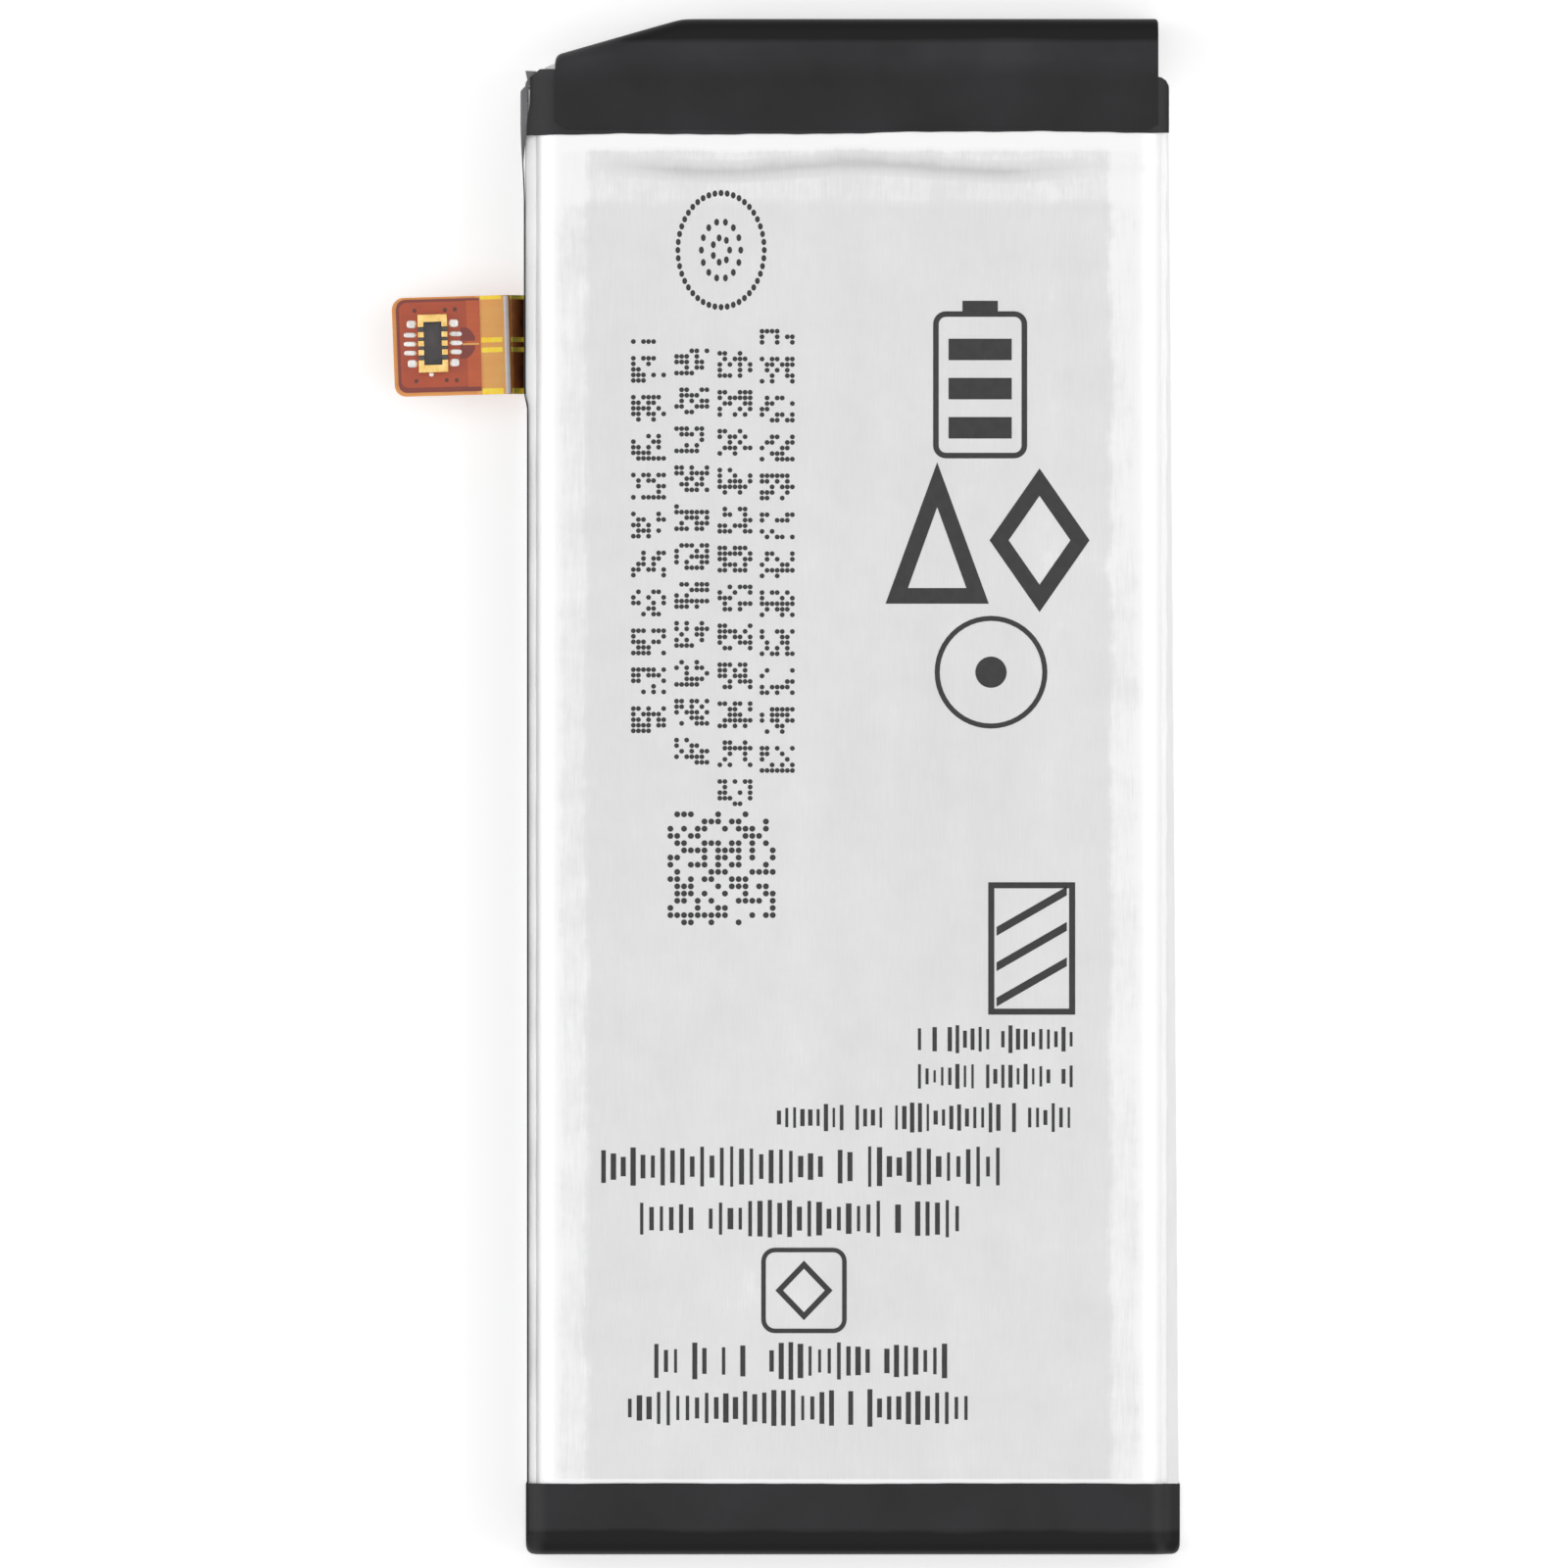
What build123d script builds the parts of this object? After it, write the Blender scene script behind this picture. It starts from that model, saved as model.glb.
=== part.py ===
from build123d import *
import os
from math import atan2, cos, radians, sin

os.makedirs("parts", exist_ok=True)

# Soft-pouch battery pack: a wound cell in a laminate pouch, a protection board on the top
# terrace, black tape caps, and a circuit tail with a connector that folds at the left side.
# Frame: origin at the middle of the pouch's back face, +Z out of the front face,
# +Y towards the board end, +X to the right of someone who looks at the front. Millimetres.

# ---------------------------------------------------------------- driving dimensions
pack_length = 60.78     # over both end tapes
cell_width = 24.84      # outside of the drawn cup
cup_top = 3.68          # front face of the cup
board_bay = 2.39        # from the cup's end wall to the outside of the top tape

laminate = 0.11         # pouch sheet
tape = 0.05             # black tape
slip = 0.01             # clearance between sheets laid on each other
side_radius = 1.00      # drawn radius along the cup's long front edges
end_radius = 0.70       # drawn radius along the cup's end edges
corner_radius = 0.45    # cup corners in plan

flap_drop = 0.78        # folded side seals end this far below the front face
flap_gap = 0.02         # between the cup wall and the folded seal
flap_lean = 0.35        # how far the right seal stands off the wall at the bottom end
flap_setback = 0.45     # the folded seals stop short of the bottom corners
fold_chamfer = 0.12     # outer corner of the fold, cut flat
terrace_depth = 1.75    # flat top seal that the board stands over
terrace_inset = 0.24    # terrace is narrower than the cup by this on each side
terrace_slant_gap = 0.15    # from the slant of the upper wrap to the terrace's cut corner

# winding
anode_thickness = 0.105
cathode_thickness = 0.095
separator_thickness = 0.02
core_least = 0.07       # smallest first half-turn of the winding
roll_face_gap = 0.11    # winding to the pouch, above and below
roll_side_gap = 0.24    # winding to cup wall, at its wider left end
head_space = 1.00       # room for the tabs between the winding and the cup's end wall
tail_space = 0.32       # winding to the bottom end wall
electrode_overhang = 0.30   # each inner layer is shorter than the one around it
stop_tape_thickness = 0.04
stop_tape_width = 5.00
bond_margin = 6.00      # bond film stops short of the winding's edges

# tabs
tab_thickness = 0.06
tab_width = 3.00
positive_tab_x = 5.60
negative_tab_x = -2.40
tab_inner_length = 5.00
tab_weld_drop = 0.54    # tabs end this far below the board's top edge
tab_bend = 0.10
sealant_thickness = 0.03
sealant_margin = 0.80   # film stands out each side of the tab

# protection board
board_left_gap = 5.82   # from the cup's left side
board_right_gap = 0.42
board_low = 0.36
board_drop = 0.24       # top edge below the cup's front face
board_corner = 0.25
board_thickness = 0.80
plate_thickness = 0.15
plate_width = 3.40
plate_height = 2.20
insulator_thickness = 0.06
cover_tape_thickness = 0.05
cover_tape_margin = 0.80

# black tapes
upper_wrap_left_gap = 0.80      # from the cup's left side
upper_wrap_right_gap = 0.17
upper_wrap_reach = 4.41     # how far the upper wrap comes down the front, from the pack's top
upper_slant_foot = 1.44     # from the pack's top down to where the slant starts at the left
upper_slant_run = 5.02      # from the wrap's left end to where the slant meets the top edge
upper_end_radius = 0.70
lower_wrap_reach = 4.64     # how far the lower band comes down the front, from the pack's top
lower_wrap_left_gap = 0.12
bottom_cap_reach = 2.82
bottom_cap_radius = 0.40
side_tape_low = 0.30
side_tape_lap = 0.15        # stands above the folded seal
notch_margin = 0.12         # round the tail where it comes out under the side tape
notch_high = 1.15

# circuit strip and free tail
strip_thickness = 0.10
strip_low = 1.00
strip_lap = 0.05        # strip stands above the folded seal
strip_bend = 0.30
strip_board_lap = 2.00
crease_reach = 1.11     # from the cup's left side out to the crease
crease_z = 1.75
crease_gap = 0.08       # bare stretch on each side of the crease line
tail_y = 17.52
tail_width = 3.92
tail_length = 4.51      # from the crease to the free end
tail_skew = 1.6         # degrees; the free end sits slightly towards the bottom
tail_corner = 0.47
hook_low = 0.62         # bottom of the hook that the strip makes beside the wall
hook_radius = 0.16
hook_trace_length = 0.62
film_thickness = 0.05
trace_thickness = 0.02
edge_trace_width = 0.16
centre_trace_width = 0.18
centre_trace_spacing = 0.37
trace_edge_margin = 0.03
land_start = 1.05       # from the crease
land_border = 0.24
land_thickness = 0.06
stiffener_thickness = 0.25

# connector
connector_reach = 2.93  # from the crease to the connector's centre
connector_offset = -0.116
housing_width = 1.16    # along the tail
housing_length = 2.30   # across the tail
housing_height = 0.56
housing_corner = 0.08
recess_width = 0.71
recess_length = 1.69
recess_depth = 0.34
contact_pitch = 0.355
contacts_per_side = 3
contact_width = 0.22
contact_metal = 0.04
foot_reach = 0.56
foot_width = 0.14
foot_thickness = 0.05
power_band = 0.30       # width of the end contacts along the connector
power_leg = 0.20        # how far their legs run along the long walls
power_foot = 0.42
power_foot_width = 0.26
solder_height = 0.09
solder_margin = 0.03

# ---------------------------------------------------------------- derived places
half_width = cell_width / 2
crease_x = -half_width - crease_reach
flap_top = cup_top - flap_drop
strip_high = flap_top + strip_lap
side_tape_high = flap_top + side_tape_lap
board_left = -half_width + board_left_gap
board_right = half_width - board_right_gap
board_high = cup_top - board_drop
tab_weld_height = board_high - tab_weld_drop
upper_wrap_left = -half_width + upper_wrap_left_gap
upper_wrap_right = half_width - upper_wrap_right_gap
upper_slant_end = upper_wrap_left + upper_slant_run
lower_wrap_left = -half_width + lower_wrap_left_gap
pack_top = pack_length / 2
pack_bottom = -pack_length / 2
cup_high = pack_top - board_bay
cup_low = pack_bottom + tape + slip
flap_low = cup_low + flap_setback
flap_inside = half_width + flap_gap
flap_outside = flap_inside + 2 * laminate
terrace_end = cup_high + terrace_depth
terrace_half = half_width - terrace_inset
board_outer = terrace_end + tab_bend + tab_thickness / 2 - plate_thickness - slip
board_inner = board_outer - board_thickness
slant_slope = upper_slant_foot / (upper_slant_end - upper_wrap_left)
slant_stretch = (1 + slant_slope**2) ** 0.5


def slant_line(x):
    """Outer edge of the upper wrap's slant, in plan."""
    return pack_top + slant_slope * (x - upper_slant_end)


def drawn_block(x_span, y_span, z_span, side_r, end_r, corner_r):
    """Block with rounded long front edges, rounded front end edges and rounded plan corners."""
    x_low, x_high = x_span
    y_low, y_high = y_span
    z_low, z_high = z_span
    with BuildPart() as block:
        with BuildSketch(Plane.XY.offset(z_low)):
            with Locations(((x_low + x_high) / 2, (y_low + y_high) / 2)):
                RectangleRounded(x_high - x_low, y_high - y_low, corner_r)
        extrude(amount=z_high - z_low)
        with BuildSketch(Plane.XZ.offset(-y_high)) as across:
            with Locations(((x_low + x_high) / 2, (z_low + z_high) / 2)):
                Rectangle(x_high - x_low, z_high - z_low)
            fillet(across.vertices().group_by(Axis.Y)[-1], side_r)
        extrude(amount=y_high - y_low, mode=Mode.INTERSECT)
        with BuildSketch(Plane.YZ.offset(x_low)) as along:
            with Locations(((y_low + y_high) / 2, (z_low + z_high) / 2)):
                Rectangle(y_high - y_low, z_high - z_low)
            fillet(along.vertices().group_by(Axis.Y)[-1], end_r)
        extrude(amount=x_high - x_low, mode=Mode.INTERSECT)
    return block.part


def plate(x_span, y_span, z_span):
    """Flat-sided block between three pairs of limits."""
    with BuildPart() as block:
        with BuildSketch(Plane.XY.offset(z_span[0])):
            with Locations(((x_span[0] + x_span[1]) / 2, (y_span[0] + y_span[1]) / 2)):
                Rectangle(x_span[1] - x_span[0], y_span[1] - y_span[0])
        extrude(amount=z_span[1] - z_span[0])
    return block.part


def seal_loft(section):
    """Folded seal between the two ends of the pouch; section(lean) gives its outline in X and Z."""
    with BuildPart() as seal:
        for y, lean in ((cup_high, 0.0), (flap_low, flap_lean)):
            with BuildSketch(Plane.XZ.offset(-y)):
                with BuildLine():
                    Polyline(*section(lean), close=True)
                make_face()
        loft(ruled=True)
    return seal.part


def bent_strip(plane, points, radius, thickness, width):
    """Sheet-metal or film strip that follows a filleted path drawn in a plane."""
    with BuildPart() as strip:
        with BuildSketch(plane):
            with BuildLine():
                FilletPolyline(*points, radius=radius)
            trace(line_width=thickness)
        extrude(amount=width)
    return strip.part


def finish(name, part):
    """Label a piece and write it."""
    part.label = name
    export_step(part, f"parts/{name}.step")


# ---------------------------------------------------------------- pouch
def cup_block(inset):
    """The drawn cup's outer form, or the form of its inside."""
    return drawn_block(
        (-half_width + inset, half_width - inset),
        (cup_low + inset, cup_high - inset),
        (laminate, cup_top - inset),
        side_radius - inset,
        end_radius - inset,
        corner_radius - inset,
    )


def cup_seal(lean):
    """Right flange of the cup: out at the foot of the wall, then folded up beside it."""
    return [
        (half_width - laminate, laminate),
        (flap_outside - laminate + lean, laminate),
        (flap_outside - laminate + lean, flap_top),
        (flap_inside + lean, flap_top),
        (flap_inside + lean, 2 * laminate),
        (half_width - laminate, 2 * laminate),
    ]


def cup_seal_left(lean):
    """Left flange of the cup, held flat to the wall by the side tape."""
    return [(-x, z) for x, z in cup_seal(0.0)]


def cover_section(lean):
    """Back sheet with both edges folded up outside the cup's flanges."""
    return [
        (-flap_outside, flap_top),
        (-flap_outside, fold_chamfer),
        (-flap_outside + fold_chamfer, 0),
        (flap_outside - fold_chamfer + lean, 0),
        (flap_outside + lean, fold_chamfer),
        (flap_outside + lean, flap_top),
        (flap_outside - laminate + lean, flap_top),
        (flap_outside - laminate + lean, laminate),
        (-flap_outside + laminate, laminate),
        (-flap_outside + laminate, flap_top),
    ]


def terrace(z):
    """Flat top seal in plan, its left corner cut away under the slant of the upper wrap."""
    corner_y = slant_line(-terrace_half) - terrace_slant_gap
    corner_x = -terrace_half + (terrace_end - corner_y) / slant_slope
    with BuildPart() as shelf:
        with BuildSketch(Plane.XY.offset(z)):
            with BuildLine():
                Polyline(
                    (-terrace_half, cup_high - laminate),
                    (-terrace_half, corner_y),
                    (corner_x, terrace_end),
                    (terrace_half, terrace_end),
                    (terrace_half, cup_high - laminate),
                    close=True,
                )
            make_face()
        extrude(amount=laminate)
    return shelf.part


tab_middle_z = laminate
pocket = tab_thickness / 2 + sealant_thickness
sealant_width = tab_width + 2 * sealant_margin
tab_foot_y = cup_high - laminate - 0.2
pocket_low = tab_foot_y - tab_thickness - tab_bend
sealant_low = tab_foot_y + tab_bend
tab_places = (positive_tab_x, negative_tab_x)

with BuildPart() as tab_pockets:
    with BuildSketch(Plane.XY.offset(tab_middle_z - pocket)):
        for x in tab_places:
            with Locations((x, (pocket_low + terrace_end) / 2)):
                Rectangle(sealant_width, terrace_end - pocket_low)
    extrude(amount=2 * pocket)

with BuildPart() as pouch_cup:
    add(cup_block(0.0))
    add(seal_loft(cup_seal))
    add(seal_loft(cup_seal_left))
    add(terrace(laminate))
    add(cup_block(laminate), mode=Mode.SUBTRACT)
    add(tab_pockets.part, mode=Mode.SUBTRACT)
finish("pouch_cup", pouch_cup.part)

with BuildPart() as pouch_cover:
    add(seal_loft(cover_section))
    add(terrace(0))
    with BuildSketch():
        with Locations((0, (cup_low + flap_low + corner_radius) / 2)):
            RectangleRounded(cell_width, flap_low + corner_radius - cup_low, corner_radius - slip)
    extrude(amount=laminate)
    add(tab_pockets.part, mode=Mode.SUBTRACT)
finish("pouch_cover", pouch_cover.part)

# ---------------------------------------------------------------- winding
layer_thicknesses = {
    "separator_inner": separator_thickness,
    "anode": anode_thickness,
    "separator_outer": separator_thickness,
    "cathode": cathode_thickness,
}
pitch = sum(layer_thicknesses.values()) + len(layer_thicknesses) * slip
stack = pitch - slip
cavity_height = cup_top - 2 * laminate
roll_height = cavity_height - 2 * roll_face_gap
winding_turns = int((roll_height + 2 * slip - 2 * core_least) / pitch - 1) // 2
core_radius = (roll_height + 2 * slip - (2 * winding_turns + 1) * pitch) / 2
roll_left = core_radius + (winding_turns - 1) * pitch + pitch / 2 + stack
roll_run = half_width - laminate - roll_side_gap - roll_left
roll_above = core_radius + (winding_turns - 1) * pitch + stack
roll_below = roll_above + pitch
roll_z = cup_top / 2 + (roll_below - roll_above) / 2
roll_low = cup_low + laminate + tail_space
roll_high = cup_high - laminate - head_space
overhangs = {"separator_inner": 0, "anode": 1, "separator_outer": 0, "cathode": 2}


def spiral(radius):
    """Flat spiral from the core outwards, as the half-round and straight runs of one edge."""
    for turn in range(winding_turns):
        r = radius + turn * pitch
        right = roll_run
        left = -roll_run
        ThreePointArc((right, roll_z - r), (right + r, roll_z), (right, roll_z + r))
        Line((right, roll_z + r), (left, roll_z + r))
        outer = (left - r - pitch / 2, roll_z - pitch / 2)
        ThreePointArc((left, roll_z + r), outer, (left, roll_z - r - pitch))
        Line((left, roll_z - r - pitch), (right, roll_z - r - pitch))


def wound_layer(radius, thickness, overhang):
    """One layer of the winding, from its core end to its outer end."""
    low = roll_low + overhang
    high = roll_high - overhang
    end_drop = winding_turns * pitch
    with BuildPart() as layer:
        with BuildSketch(Plane.XZ.offset(-high)):
            with BuildLine():
                spiral(radius)
                spiral(radius + thickness)
                for drop in (0, end_drop):
                    start = (roll_run, roll_z - radius - drop)
                    Line(start, (roll_run, roll_z - radius - drop - thickness))
            make_face()
        extrude(amount=high - low)
    return layer.part


layer_radius = core_radius
for layer_name, layer_thickness in layer_thicknesses.items():
    layer_overhang = overhangs[layer_name] * electrode_overhang
    finish(layer_name, wound_layer(layer_radius, layer_thickness, layer_overhang))
    layer_radius += layer_thickness + slip

roll_bottom = roll_z - roll_below
roll_top = roll_z + roll_above
with BuildPart() as roll_stop_tape:
    add(
        plate(
            (roll_run - stop_tape_width, roll_run),
            (roll_low + 2.0, roll_high - 2.0),
            (roll_bottom - slip - stop_tape_thickness, roll_bottom - slip),
        )
    )
finish("roll_stop_tape", roll_stop_tape.part)

with BuildPart() as roll_bond:
    add(
        plate(
            (-roll_run + bond_margin, roll_run - bond_margin),
            (roll_low + bond_margin, roll_high - bond_margin),
            (roll_top, cup_top - laminate - slip),
        )
    )
finish("roll_bond", roll_bond.part)

# ---------------------------------------------------------------- tabs and sealant
weld_y = board_outer + plate_thickness + tab_thickness / 2
tab_core_z = roll_z - pitch / 2
tab_route = [
    (roll_high - tab_inner_length, tab_core_z),
    (roll_high + head_space / 3, tab_core_z),
    (tab_foot_y, tab_middle_z),
    (weld_y, tab_middle_z),
    (weld_y, tab_weld_height),
]

for tab_name, tab_x in (("positive", positive_tab_x), ("negative", negative_tab_x)):
    tab_plane = Plane.YZ.offset(tab_x - tab_width / 2)
    finish(f"{tab_name}_tab", bent_strip(tab_plane, tab_route, tab_bend, tab_thickness, tab_width))
    with BuildPart() as sealant:
        with BuildSketch(Plane.XZ.offset(-terrace_end)):
            with Locations((tab_x, tab_middle_z)):
                Rectangle(sealant_width - 2 * slip, 2 * pocket)
                Rectangle(tab_width, tab_thickness, mode=Mode.SUBTRACT)
        extrude(amount=terrace_end - sealant_low)
    finish(f"{tab_name}_sealant", sealant.part)

# ---------------------------------------------------------------- protection board
board_middle_z = (board_low + board_high) / 2
board_half_height = (board_high - board_low) / 2
with BuildPart() as circuit_board:
    add(plate((board_left, board_right), (board_inner, board_outer), (board_low, board_high)))
    fillet(circuit_board.edges().filter_by(Axis.Y), board_corner)
finish("circuit_board", circuit_board.part)

# name: (width, height, depth, [(x from the board's left end, z as a share of its half height), ...])
board_items = {
    "protection_ics": (1.6, 1.6, 0.50, [(5.4, 0.0), (8.2, 0.0)]),
    "mosfets": (3.0, 2.2, 0.62, [(11.6, 0.0), (15.4, 0.0)]),
    "resistors": (0.6, 0.3, 0.26, [(1.4, 0.52), (2.6, 0.52), (1.4, 0.0), (2.6, 0.0), (3.8, 0.52)]),
    "capacitors": (1.0, 0.5, 0.50, [(1.5, -0.58), (3.0, -0.58), (4.0, 0.0), (6.8, -0.75)]),
    "thermistor": (0.5, 1.0, 0.50, [(17.6, 0.0)]),
}
for item_name, (item_width, item_height, item_depth, item_places) in board_items.items():
    with BuildPart() as items:
        with BuildSketch(Plane.XZ.offset(-board_inner)):
            for item_x, item_z in item_places:
                with Locations((board_left + item_x, board_middle_z + item_z * board_half_height)):
                    RectangleRounded(item_width, item_height, 0.04)
        extrude(amount=item_depth)
    finish(item_name, items.part)

for plate_name, plate_x in (("positive", positive_tab_x), ("negative", negative_tab_x)):
    with BuildPart() as weld_plate:
        with BuildSketch(Plane.XZ.offset(-board_outer - plate_thickness)):
            with Locations((plate_x, board_middle_z)):
                RectangleRounded(plate_width, plate_height, 0.2)
        extrude(amount=plate_thickness)
    finish(f"{plate_name}_weld_plate", weld_plate.part)

insulator_y = cup_high + tape + 2 * slip
insulator_z = 2 * laminate + slip
with BuildPart() as board_insulator:
    add(
        plate(
            (board_left, board_right),
            (insulator_y, insulator_y + insulator_thickness),
            (insulator_z, board_high),
        )
    )
    add(
        plate(
            (board_left, board_right),
            (insulator_y, terrace_end),
            (insulator_z, insulator_z + insulator_thickness),
        )
    )
finish("board_insulator", board_insulator.part)

cover_tape_y = weld_y + tab_thickness / 2 + slip
with BuildPart() as tab_cover_tape:
    add(
        plate(
            (
                min(tab_places) - tab_width / 2 - cover_tape_margin,
                max(tab_places) + tab_width / 2 + cover_tape_margin,
            ),
            (cover_tape_y, cover_tape_y + cover_tape_thickness),
            (board_low + cover_tape_margin / 2, board_high - cover_tape_margin / 4),
        )
    )
finish("tab_cover_tape", tab_cover_tape.part)

# ---------------------------------------------------------------- circuit strip, fixed part
wall_x = -(flap_outside + slip + strip_thickness / 2)
strip_lap_y = board_outer + slip + strip_thickness / 2
tail_high_y = tail_y + tail_width / 2
tail_low_y = tail_y - tail_width / 2
strip_route = [
    (board_left + strip_board_lap, strip_lap_y),
    (board_left - 0.3, strip_lap_y),
    (wall_x, cup_high + tape + 0.12),
    (wall_x, tail_low_y),
]
hook_run = crease_x - wall_x
hook_rise = crease_z - hook_low
hook_angle = atan2(hook_rise, hook_run)
hook_end = (crease_x - crease_gap * cos(hook_angle), crease_z - crease_gap * sin(hook_angle))
hook_route = [(wall_x, strip_low + hook_radius), (wall_x, hook_low), hook_end]

with BuildPart() as flex_run:
    strip_plane = Plane.XY.offset(strip_low)
    add(bent_strip(strip_plane, strip_route, strip_bend, strip_thickness, strip_high - strip_low))
    hook_plane = Plane.XZ.offset(-tail_high_y)
    add(bent_strip(hook_plane, hook_route, hook_radius, strip_thickness, tail_width))
finish("flex_run", flex_run.part)


# centre and width of each copper line across the tail
edge_trace_place = tail_width / 2 - trace_edge_margin - edge_trace_width / 2
trace_lines = [
    (-edge_trace_place, edge_trace_width),
    (-centre_trace_spacing / 2, centre_trace_width),
    (centre_trace_spacing / 2, centre_trace_width),
    (edge_trace_place, edge_trace_width),
]
hook_down = Vector(-cos(hook_angle), 0, -sin(hook_angle))
hook_normal = Vector(sin(hook_angle), 0, -cos(hook_angle))
hook_top = Vector(hook_end[0], tail_y, hook_end[1]) + hook_normal * (strip_thickness / 2)
with BuildPart() as flex_run_traces:
    with BuildSketch(Plane(origin=hook_top, x_dir=hook_down, z_dir=hook_normal)):
        for line_place, line_width in trace_lines:
            with Locations((hook_trace_length / 2, line_place)):
                Rectangle(hook_trace_length, line_width)
    extrude(amount=trace_thickness)
finish("flex_run_traces", flex_run_traces.part)

# ---------------------------------------------------------------- free tail
skew = radians(tail_skew)
tail_out = Vector(-cos(skew), -sin(skew), 0)
crease_cut = Plane.YZ.offset(crease_x - crease_gap)
coverlay_top = crease_z + film_thickness
land_top = coverlay_top + land_thickness


def tail_plane(z):
    """Plane on the tail: x runs from the crease to the free end, y towards the pack's bottom."""
    return Plane(origin=(crease_x, tail_y, z), x_dir=tail_out, z_dir=(0, 0, 1))


def tail_sheet(z, thickness, start, border):
    """Layer of the tail from start to the free end, with rounded free corners."""
    with BuildPart() as sheet:
        with BuildSketch(tail_plane(z)) as outline:
            with Locations(((start + tail_length - border) / 2, 0)):
                Rectangle(tail_length - border - start, tail_width - 2 * border)
            fillet(outline.vertices().group_by(Axis.X)[-1], tail_corner - border / 2)
        extrude(amount=thickness)
    return sheet.part


def trace_strips(end_edge, end_centre):
    """The four copper lines, from inside the crease cut to their ends."""
    with BuildPart() as strips:
        with BuildSketch(tail_plane(crease_z)):
            for line_place, line_width in trace_lines:
                line_end = end_edge if abs(line_place) == edge_trace_place else end_centre
                with Locations((line_end / 2, line_place)):
                    Rectangle(line_end, line_width)
        extrude(amount=trace_thickness)
        split(bisect_by=crease_cut, keep=Keep.BOTTOM)
    return strips.part


with BuildPart() as tail_film:
    add(tail_sheet(crease_z - film_thickness, film_thickness, -crease_gap, 0))
    split(bisect_by=crease_cut, keep=Keep.BOTTOM)
finish("tail_film", tail_film.part)

with BuildPart() as tail_traces:
    add(trace_strips(tail_length - 2 * tail_corner, connector_reach - housing_width))
finish("tail_traces", tail_traces.part)

with BuildPart() as tail_coverlay:
    add(tail_sheet(crease_z, film_thickness, -crease_gap, 0))
    split(bisect_by=crease_cut, keep=Keep.BOTTOM)
    add(tail_traces.part, mode=Mode.SUBTRACT)
finish("tail_coverlay", tail_coverlay.part)

with BuildPart() as tail_stiffener:
    stiffener_low = crease_z - film_thickness - stiffener_thickness
    add(tail_sheet(stiffener_low, stiffener_thickness, land_start, 0))
finish("tail_stiffener", tail_stiffener.part)

# ---------------------------------------------------------------- connector
connector_centre = tail_plane(0).from_local_coords(Vector(connector_reach, connector_offset, 0))
housing_low = land_top + slip
housing_top = housing_low + housing_height
wall_width = (housing_width - recess_width) / 2
foot_middle_z = coverlay_top + contact_metal / 2


def connector_plane(z):
    """Plane on the connector: x along the tail, y along the rows of contacts."""
    return Plane(origin=(connector_centre.X, connector_centre.Y, z), x_dir=tail_out, z_dir=(0, 0, 1))


def connector_block(x_span, y_span, z_span):
    """Block placed in the connector's own plane."""
    with BuildPart() as block:
        with BuildSketch(connector_plane(z_span[0])):
            with Locations(((x_span[0] + x_span[1]) / 2, (y_span[0] + y_span[1]) / 2)):
                Rectangle(x_span[1] - x_span[0], y_span[1] - y_span[0])
        extrude(amount=z_span[1] - z_span[0])
    return block.part


contact_rows = [(i - (contacts_per_side - 1) / 2) * contact_pitch for i in range(contacts_per_side)]
foot_end = housing_width / 2 + foot_reach


def signal_contact(side, row, grow):
    """Hoop over the long wall and a foot that runs out on the pad."""
    outside = housing_width / 2
    inside = recess_width / 2
    low = coverlay_top
    across = (row - contact_width / 2 - grow, row + contact_width / 2 + grow)
    foot_across = (row - foot_width / 2 - grow, row + foot_width / 2 + grow)
    legs = (
        (outside - contact_metal - grow, outside + grow, across, low, housing_top),
        (inside, outside, across, housing_top - contact_metal - grow, housing_top),
        (inside - grow, inside + contact_metal + grow, across, housing_top - recess_depth, housing_top),
        (outside - contact_metal, foot_end, foot_across, low, low + contact_metal + grow),
    )
    with BuildPart() as contact:
        for near, far, width_span, z_low, z_high in legs:
            x_span = tuple(sorted((side * near, side * far)))
            add(connector_block(x_span, width_span, (z_low, z_high)))
    return contact.part


def power_contact(end, grow):
    """Cap over a short wall, with a leg along each long wall and a foot each side."""
    outside = housing_width / 2
    tip = housing_length / 2
    band_start = tip - power_band
    leg_start = band_start - power_leg
    low = coverlay_top
    cap_low = housing_top - contact_metal - grow
    foot_x = outside + power_foot
    foot_y = leg_start + power_foot_width
    with BuildPart() as contact:
        bars = [((-outside, outside), (band_start - grow, tip), (cap_low, housing_top))]
        bars.append(((-outside, outside), (tip - contact_metal - grow, tip), (housing_low, housing_top)))
        for side in (-1, 1):
            leg_x = tuple(sorted((side * (recess_width / 2), side * outside)))
            skirt_x = tuple(sorted((side * (outside - contact_metal - grow), side * outside)))
            foot_span = tuple(sorted((side * (outside - contact_metal), side * foot_x)))
            bars.append((leg_x, (leg_start - grow, band_start), (cap_low, housing_top)))
            bars.append((skirt_x, (leg_start - grow, tip), (low, housing_top)))
            bars.append((foot_span, (leg_start - grow, foot_y + grow), (low, low + contact_metal + grow)))
        for x_span, y_span, z_span in bars:
            end_span = tuple(sorted((end * y_span[0], end * y_span[1])))
            add(connector_block(x_span, end_span, z_span))
    return contact.part


contact_keys = [(side, row) for side in (-1, 1) for row in contact_rows]

with BuildPart() as signal_contacts:
    for contact_side, contact_row in contact_keys:
        add(signal_contact(contact_side, contact_row, 0))
finish("signal_contacts", signal_contacts.part)

with BuildPart() as power_contacts:
    for contact_end in (-1, 1):
        add(power_contact(contact_end, 0))
finish("power_contacts", power_contacts.part)

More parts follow.
